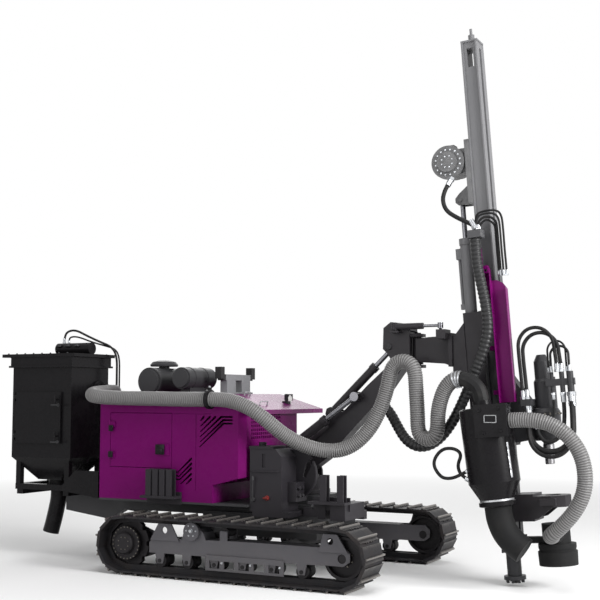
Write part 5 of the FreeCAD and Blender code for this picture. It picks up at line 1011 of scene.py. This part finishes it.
shape = bmesh.new()
for step in (-14, -8, -2):
    here = boom_line[ribs_end + step]
    way = (boom_line[ribs_end + step + 1] - here).normalized()
    add_band(shape, here, way, DUCT_RADIUS, BAND_WIDTH, BAND_THICK)
    side = way.cross(RIGHT).normalized()
    add_round(shape, here + side * (DUCT_RADIUS + 0.004) + way * -0.012, way, 0.007, 0.024, 12)
finish_piece("duct_bands_mast", shape, zinc, "mast")

shape = bmesh.new()
add_band(shape, STRAP_PLACE, AHEAD, DUCT_RADIUS + 0.001, 0.034, 0.020)
add_plate(shape, STRAP_PLACE + ABOVE * (DUCT_RADIUS + 0.030), (0.030, 0.036, 0.024))
finish_piece("duct_strap", shape, black, "base")

shape = bmesh.new()
for x in (-1.930, -1.905):
    add_band(shape, Vector((x, -0.200, 1.735)), AHEAD, DUCT_RADIUS + 0.0005, 0.012, BAND_THICK)
add_bolt(shape, STRAP_PLACE + ABOVE * (DUCT_RADIUS + 0.042), ABOVE, 0.019)
finish_piece("duct_bands_base", shape, zinc, "base")

# %% [markdown]
# ## Track shoe bolts and wheel bolts
#
# Each shoe is bolted down to the two link rails. The shoes stand one pitch
# apart round the track's loop, so a walk along the loop gives each shoe's
# middle, and lines shot inwards from there find its plate.

# %% Bolts of the shoes
SHOE_PITCH = 0.154
SHOE_COUNT = 39
TRACK_MIDDLE = 0.9575
BOLT_ALONG = (0.006, 0.048)
BOLT_ASIDE = (-0.075, -0.035, 0.035, 0.075)
STRAIGHT_RUN = LOOP_FRONT - LOOP_REAR
CHAIN_RADIUS = (SHOE_COUNT * SHOE_PITCH - 2 * STRAIGHT_RUN) / (2 * math.pi)


def loop_place(far):
    """The point of the chain's line that far round the loop, with its outward direction."""
    far %= SHOE_COUNT * SHOE_PITCH
    half_turn = math.pi * CHAIN_RADIUS
    if far < STRAIGHT_RUN:
        return Vector((LOOP_REAR + far, 0, LOOP_Z + CHAIN_RADIUS)), ABOVE
    far -= STRAIGHT_RUN
    if far < half_turn:
        angle = far / CHAIN_RADIUS
        way = Vector((math.sin(angle), 0, math.cos(angle)))
        return Vector((LOOP_FRONT, 0, LOOP_Z)) + way * CHAIN_RADIUS, way
    far -= half_turn
    if far < STRAIGHT_RUN:
        return Vector((LOOP_FRONT - far, 0, LOOP_Z - CHAIN_RADIUS)), -ABOVE
    angle = (far - STRAIGHT_RUN) / CHAIN_RADIUS
    way = Vector((-math.sin(angle), 0, -math.cos(angle)))
    return Vector((LOOP_REAR, 0, LOOP_Z)) + way * CHAIN_RADIUS, way


for node, middle in (("track_right", -TRACK_MIDDLE), ("track_left", TRACK_MIDDLE)):
    shape = bmesh.new()
    count = 0
    for shoe in range(SHOE_COUNT):
        for shift in BOLT_ALONG:
            place, way = loop_place(shoe * SHOE_PITCH + shift)
            for aside in BOLT_ASIDE:
                start = place + LEFT * (middle + aside) + way * 0.10
                count += bolt_down(shape, node, start, way, 0.016, shoe * 0.4, 0.99, 0.05)
    finish_piece(node + "_bolts", shape, shoe_steel, "base")
    print(node, count, "shoe bolts")

# %% [markdown]
# The wheels and rollers get their bolts from the side. The final drive sits in
# its sprocket behind a ring of twenty-four. The idler has a smaller ring, the
# roller brackets have pairs, and one ring stands round the carrier roller.

# %% Bolts of the wheels and rollers
DRIVE_AXLE = Vector((LOOP_REAR, 0, LOOP_Z))
IDLER_AXLE = Vector((LOOP_FRONT, 0, LOOP_Z))
ROLLER_PLACES = (-0.59, -0.29, 0.02, 0.32, 0.62, 0.90)
WHEEL_RINGS = ((DRIVE_AXLE, "sprockets", 0.150, 24, 0.011),
               (DRIVE_AXLE, "sprockets", 0.060, 8, 0.009), (IDLER_AXLE, "idlers", 0.075, 8, 0.014))
shape = bmesh.new()
for side, way in SIDES:
    for axle, node, ring, holes, across in WHEEL_RINGS:
        bolt_ring(shape, node, axle + LEFT * side * OUTSIDE, way, ring, holes, across)
finish_piece("wheel_bolts", shape, old_bolt, "base")

shape = bmesh.new()
for side, way in SIDES:
    for x in ROLLER_PLACES:
        for shift in (-0.034, 0.034):
            start = (x + shift, side * OUTSIDE, 0.170)
            for node in ("rollers", "track_frames"):
                if bolt_down(shape, node, start, way, 0.017, square=0.95):
                    break
for side, way in SIDES:
    seat, _ = touch("track_frames", (-0.271, side * OUTSIDE, 0.444), -way)
    for ring, holes, across in ((0.052, 6, 0.012), (0.0, 1, 0.030)):
        for hole in range(holes):
            angle = math.pi * hole / 3
            add_bolt(shape, seat + in_ring(ring, angle), way, across, angle)
finish_piece("roller_bolts", shape, zinc, "base")

# %% [markdown]
# ## Canopy hardware
#
# The engine door hangs on two black hinges and shuts with a paddle latch in a
# shallow pan. Two bent-bar handles lift the roof panel, and the work lamp has a
# lens in a bezel.

# %% Hinges, latches, handles, lens
for side, way, body, skin in ((-1, RIGHT, "door_right", -0.774), (1, LEFT, "door_left", 0.854)):
    shape = bmesh.new()
    add_plate(shape, Vector((-0.843, skin + side * 0.003, 1.165)), (0.105, 0.006, 0.098), 0.0025)
    add_plate(shape, Vector((-0.838, skin + side * 0.010, 1.150)), (0.070, 0.010, 0.046), 0.004)
    add_round(shape, Vector((-0.868, skin + side * 0.006, 1.196)), way, 0.009, 0.006, 18)
    for height in (1.105, 1.365):
        add_plate(shape, Vector((-1.440, skin + side * 0.004, height)), (0.052, 0.008, 0.060))
        for up in (0.017, -0.017):
            add_bolt(shape, Vector((-1.430, skin + side * 0.008, height + up)), way, 0.010)
    finish_piece(body + "_hardware", shape, black, body)

shape = bmesh.new()
for x, y_low, y_high in ((-0.013, -0.265, -0.115), (-0.323, -0.035, 0.075)):
    seats = [touch("canopy_roof", (x, y, OVERHEAD), -ABOVE)[0] for y in (y_low, y_high)]
    lifted = [seat + Vector((0.010, 0, 0.034)) for seat in seats]
    add_bar(shape, [seats[0], lifted[0], lifted[0], lifted[1], lifted[1], seats[1]], 0.006)
    for seat in seats:
        add_round(shape, seat, ABOVE, 0.013, 0.003, 16)
finish_piece("roof_handles", shape, pale, "base")

lens_glass, lens_shader = new_finish("lamp_glass", "#E8E8E4", 0.08, gloss=0.5)
join_to(lens_glass, ramp(lens_glass, noise(lens_glass, object_place(lens_glass), 60.0, 3.0),
                         0.3, 0.7, 0.05, 0.14), lens_shader, "Roughness")
shape = bmesh.new()
lens_seat, _ = touch("work_lamp", (0.4, 0.4115, 1.655), -AHEAD)
add_round(shape, lens_seat, AHEAD, 0.040, 0.004, 32, 0.037)
finish_piece("lamp_lens", shape, lens_glass, "base")

# %% [markdown]
# ## Dust collector hardware
#
# The filter door is drawn shut by two T-handles on threaded studs. On the lid
# sit the pulse valves that knock dust off the filters: thin pipes arch from
# them towards the machine. Bolts go round the lid's flange.

# %% Collector
shape = bmesh.new()
for height in (1.593, 1.209):
    seat, _ = touch("collector_door", (-2.205, NEAR_SIDE, height), LEFT)
    add_round(shape, seat, RIGHT, 0.008, 0.055, 14)
    add_round(shape, seat, RIGHT, 0.020, 0.004, 20)
    grip = seat + RIGHT * 0.055
    add_bar(shape, [grip + AHEAD * -0.050, grip + AHEAD * 0.050], 0.008, False)
finish_piece("collector_tee_handles", shape, head_grey, "filter_door")

shape = bmesh.new()
for x in (-2.52, -2.40, -2.28):
    seat, _ = touch("collector_body", (x, -0.30, OVERHEAD), -ABOVE)
    add_round(shape, seat, ABOVE, 0.036, 0.016, 24)
    add_round(shape, seat + ABOVE * 0.016, ABOVE, 0.024, 0.012, 20)
finish_piece("pulse_valves", shape, head_grey, "base")

shape = bmesh.new()
for index in range(9):
    for y in (-0.673, -0.012):
        bolt_down(shape, "collector_body", (-2.90 + 0.115 * index, y, OVERHEAD), ABOVE, 0.014)
finish_piece("collector_bolts", shape, head_grey, "base")

# %% [markdown]
# ## Cyclone hardware
#
# A bolted cover with a bare little window frame closes the cyclone's inlet box. The bottom cone is
# clamped to its rubber boot by a band of bright steel. A strip of bright plates along the drum's
# front is a painted highlight, for light falling on the drum's side.

# %% Cyclone cover and band
shape = bmesh.new()
for x, z in ((2.368, 1.559), (2.532, 1.578), (2.403, 1.369), (2.551, 1.390)):
    bolt_down(shape, "cyclone", (x, NEAR_SIDE, z), RIGHT, 0.024)
finish_piece("cyclone_cover_bolts", shape, black, "mast")

shape = bmesh.new()
window, _ = touch("cyclone", (2.462, NEAR_SIDE, 1.489), LEFT)
for shift, size in (((0.052, 0), (0.006, 0.005, 0.066)), ((-0.052, 0), (0.006, 0.005, 0.066)),
                    ((0, 0.030), (0.110, 0.005, 0.006)), ((0, -0.030), (0.110, 0.005, 0.006))):
    add_plate(shape, window + Vector((shift[0], -0.002, shift[1])), size, 0.001)
finish_piece("cyclone_window_frame", shape, pale, "mast")

# %% [markdown]
# The cyclone leans a little more than the mast, so the ring and the painted highlight strip are
# placed from its foot and along its own axes.

# %% Bright ring and painted highlight strip
CYCLONE_FOOT = Vector((20, -410, 737))
CYCLONE_LEAN = Matrix.Rotation(math.radians(-3.4), 3, "Y")
HIGHLIGHT_WAY = Vector((0.87, -0.49, 0.0))
HIGHLIGHT_HEIGHTS = (290, 350, 410, 470, 530)
DRUM_REACH = 0.26


def on_cyclone(ahead, left, up):
    """A place from the cyclone's foot, in mm along its own leaning axes."""
    return on_mast(*(CYCLONE_FOOT + CYCLONE_LEAN @ Vector((ahead, left, up))))


cyclone_up = (on_cyclone(0, 0, 1000) - on_cyclone(0, 0, 0)).normalized()
upright = cyclone_up.rotation_difference(ABOVE).to_matrix().inverted()
turn = (upright @ Matrix.Rotation(math.atan2(HIGHLIGHT_WAY.y, HIGHLIGHT_WAY.x), 3, "Z")).to_4x4()
shape = bmesh.new()
add_band(shape, on_cyclone(0, 0, 52), cyclone_up, 0.1462, 0.015, 0.0022)
# Bright plates down the drum's front are a painted highlight for light on its side.
for up in HIGHLIGHT_HEIGHTS:
    middle = on_cyclone(0, 0, up)
    seat, _ = touch("cyclone", middle + HIGHLIGHT_WAY * 0.6, -HIGHLIGHT_WAY)
    if seat is not None and (seat - middle).length < DRUM_REACH:
        add_plate(shape, seat + HIGHLIGHT_WAY * 0.001, (0.004, 0.020, 0.0605), 0.0008, turn)
finish_piece("cyclone_band_and_painted_highlight", shape, band_and_highlight_steel, "mast")

# %% [markdown]
# ## Controls, motor bolts and head bolts
#
# Small things give the size of the large ones: a red battery switch and a
# lever at the front cabinet, a ring of cap screws round the feed motor and
# round the gearbox of the rotary head, and keeper bolts at the boom's pins.

# %% Small things at the front and on the boom
red_paint = enamel("switch_red_enamel", "#6E1D1A", "#541512", "#6A5A55", 0.4, 0.2)
shape = bmesh.new()
switch, _ = touch("front_cabinet", (0.318, NEAR_SIDE, 0.738), LEFT)
add_round(shape, switch, RIGHT, 0.024, 0.014, 24, 0.021)
add_plate(shape, switch + RIGHT * 0.024, (0.060, 0.020, 0.016), 0.004)
finish_piece("battery_switch", shape, red_paint, "base")

shape = bmesh.new()
lever_foot, _ = touch("front_cabinet", (0.170, NEAR_SIDE, 0.720), LEFT)
add_round(shape, lever_foot, RIGHT, 0.020, 0.022, 20)
add_bar(shape, [lever_foot + RIGHT * 0.018, lever_foot + Vector((0.004, -0.030, 0.060)),
                lever_foot + Vector((0.012, -0.034, 0.190))], 0.006)
add_round(shape, lever_foot + Vector((0.012, -0.034, 0.180)), ABOVE, 0.013, 0.035, 18, 0.009)
add_bar(shape, [Vector((0.737, -0.600, 0.668)), Vector((0.871, -0.600, 0.668))], 0.024, False)
finish_piece("cabinet_lever", shape, head_grey, "base")

# %% [markdown]
# The feed motor's bolts form two rings in the plane of X and Z. The gearbox
# has two rings round the leaning mast's own direction instead.

# %% Bolts of the motor, the gearbox and the pins
MOTOR_CENTRE = Vector((1.931, -1.0, 3.860))
HEAD_CENTRE = on_mast(403, 0, 1500)
HEAD_BOLTS = 18
shape = bmesh.new()
for ring, holes, across in ((0.120, 16, 0.014), (0.055, 8, 0.012)):
    bolt_ring(shape, "feed_drive", MOTOR_CENTRE, RIGHT, ring, holes, across)
finish_piece("feed_motor_bolts", shape, zinc, "mast")

shape = bmesh.new()
for up in (-0.235, 0.0):
    for hole in range(HEAD_BOLTS):
        angle = 2 * math.pi * hole / HEAD_BOLTS
        way = MAST_AHEAD * math.cos(angle) + LEFT * math.sin(angle)
        start = HEAD_CENTRE + MAST_UP * up + way * 0.6
        bolt_down(shape, "rotary_head", start, way, 0.016, angle, clear=0.42)
finish_piece("gearbox_bolts", shape, old_bolt, "head")

for body, places in (("boom", ((0.400, 1.000), (1.420, 2.020), (0.981, 1.679))),
                     ("knuckle", ((1.310, 2.150), (1.420, 2.020))),
                     ("turret", ((0.200, 1.120), (0.400, 1.000)))):
    shape = bmesh.new()
    for x, z in places:
        for side, way in SIDES:
            seat, face = touch(body, (x, side * 0.8, z), -way)
            if seat is None or face.dot(way) < SQUARE:
                continue
            add_round(shape, seat, way, 0.030, 0.008, 28, 0.027)
            for turn in (0.6, 2.7, 4.8):
                add_bolt(shape, seat + way * 0.008 + in_ring(0.015, turn), way, 0.009)
    finish_piece(body + "_pin_caps", shape, head_grey, body)

# %% [markdown]
# ## Fittings of the hoses
#
# A hose ends in a steel ferrule that is crimped on, and a hex nut behind it.
# They are plated bright, and they are what shines in the tangle of hoses. The
# ferrule stands on the hose's own line at each end.

# %% Ferrules and nuts
FERRULE_STEPS = 18

# Shares of the hose's diameter.
FERRULE_RADIUS = 0.62
FERRULE_LENGTH = 1.7
NUT_RADIUS = 0.80
NUT_HEIGHT = 0.7
GROOVES = (0.95, 1.45, 1.95)


def add_ferrule(shape, end, inward, across):
    """A hex nut at the hose's end, then a crimped ferrule along the hose."""
    bmesh.ops.create_cone(
        shape, cap_ends=True, segments=6, radius1=across * NUT_RADIUS,
        radius2=across * NUT_RADIUS, depth=across * NUT_HEIGHT,
        matrix=standing(end, inward) @ Matrix.Translation((0, 0, across * NUT_HEIGHT / 2)))
    add_round(shape, end + inward * across * NUT_HEIGHT, inward, across * FERRULE_RADIUS,
              across * FERRULE_LENGTH, FERRULE_STEPS)
    for groove in GROOVES:
        add_band(shape, end + inward * across * groove, inward, across * FERRULE_RADIUS,
                 across * 0.2, across * 0.05, FERRULE_STEPS)


for body in ("base", "mast", "head"):
    shape = bmesh.new()
    for _, route, rides, across in [row[:4] for row in HOSES] + EXTRA_HOSES:
        if rides == body:
            add_ferrule(shape, route[0], (route[1] - route[0]).normalized(), across)
            add_ferrule(shape, route[-1], (route[-2] - route[-1]).normalized(), across)
    finish_piece("hose_fittings_" + body, shape, zinc, body)

# %% [markdown]
# ## Floor, backdrop and light
#
# The machine is shown on white, as a catalogue does. A pale floor carries its
# shadow and fades to plain white where it ends, and the world looks white to
# the camera and in reflections but lights the steel only gently. A large soft
# lamp stands high ahead of the machine, since its front faces are the bright
# ones, and a weaker one fills the side that the camera sees.

# %% The floor
FLOOR_REACH = 16.0
FADE_START = 5.5
FADE_END = 13.0
WHITE = (1, 1, 1, 1)
floor_mesh = bpy.data.meshes.new("floor")
shape = bmesh.new()
bmesh.ops.create_circle(shape, cap_ends=True, segments=96, radius=FLOOR_REACH)
shape.to_mesh(floor_mesh)
shape.free()
new_object("floor", floor_mesh)


def seen_plainly(owner):
    """1 for a ray from the camera, out of a mirror or through glass, 0 for light's own rays."""
    rays = add_node(owner, "ShaderNodeLightPath").outputs
    seen = maths(owner, "MAXIMUM", rays["Is Camera Ray"], rays["Is Glossy Ray"])
    return maths(owner, "MAXIMUM", seen, rays["Is Transmission Ray"])


floor_paint, floor_shader = new_finish("studio_floor", "#EDEDED", 0.75)
reach = far_off(floor_paint, object_place(floor_paint))
fade = ramp(floor_paint, reach, FADE_START, FADE_END, 0.0, 1.0)
faded = maths(floor_paint, "MULTIPLY", fade, seen_plainly(floor_paint))
white = add_node(floor_paint, "ShaderNodeEmission", {"Color": WHITE, "Strength": 1.0})
mixed = add_node(floor_paint, "ShaderNodeMixShader", {
    0: faded, 1: floor_shader.outputs["BSDF"], 2: white.outputs["Emission"]})
tree = floor_paint.node_tree
tree.links.new(mixed.outputs["Shader"], tree.nodes["Material Output"].inputs["Surface"])
floor_mesh.materials.append(floor_paint)
print("floor fades to white from", FADE_START, "to", FADE_END, "m")

# %% [markdown]
# The world's nodes tell the camera's rays from the light's in the same way.
# The view transform is Standard, so a white backdrop is plain white.

# %% The world and the lamps
WORLD_LIGHT = 0.36
world = bpy.data.worlds.new("studio")
bpy.context.scene.world = world
world.use_nodes = True
world.node_tree.nodes.clear()
strength = ramp(world, seen_plainly(world), 0.0, 1.0, WORLD_LIGHT, 1.0)
backdrop = add_node(world, "ShaderNodeBackground", {"Color": WHITE, "Strength": strength})
add_node(world, "ShaderNodeOutputWorld", {"Surface": backdrop.outputs["Background"]})


def soft_lamp(name, place, aim, size, watts):
    """A square area lamp that faces a point."""
    data = bpy.data.lights.new(name, "AREA")
    data.shape = "SQUARE"
    data.size = size
    data.energy = watts
    lamp = new_object(name, data)
    lamp.location = place
    lamp.rotation_euler = (Vector(aim) - Vector(place)).to_track_quat("-Z", "Y").to_euler()


soft_lamp("key_lamp", (11.0, -2.5, 5.0), (0.0, 0.0, 1.2), 4.5, 1500)
soft_lamp("top_lamp", (3.0, -4.0, 10.0), (0.0, 0.0, 1.2), 5.0, 380)
soft_lamp("fill_lamp", (-3.0, -11.0, 4.5), (0.0, 0.0, 1.2), 6.0, 330)
soft_lamp("back_lamp", (-5.0, 8.0, 8.0), (0.0, 0.0, 1.5), 6.0, 350)
bpy.context.scene.view_settings.view_transform = "Standard"
print("stage and lamps ready")
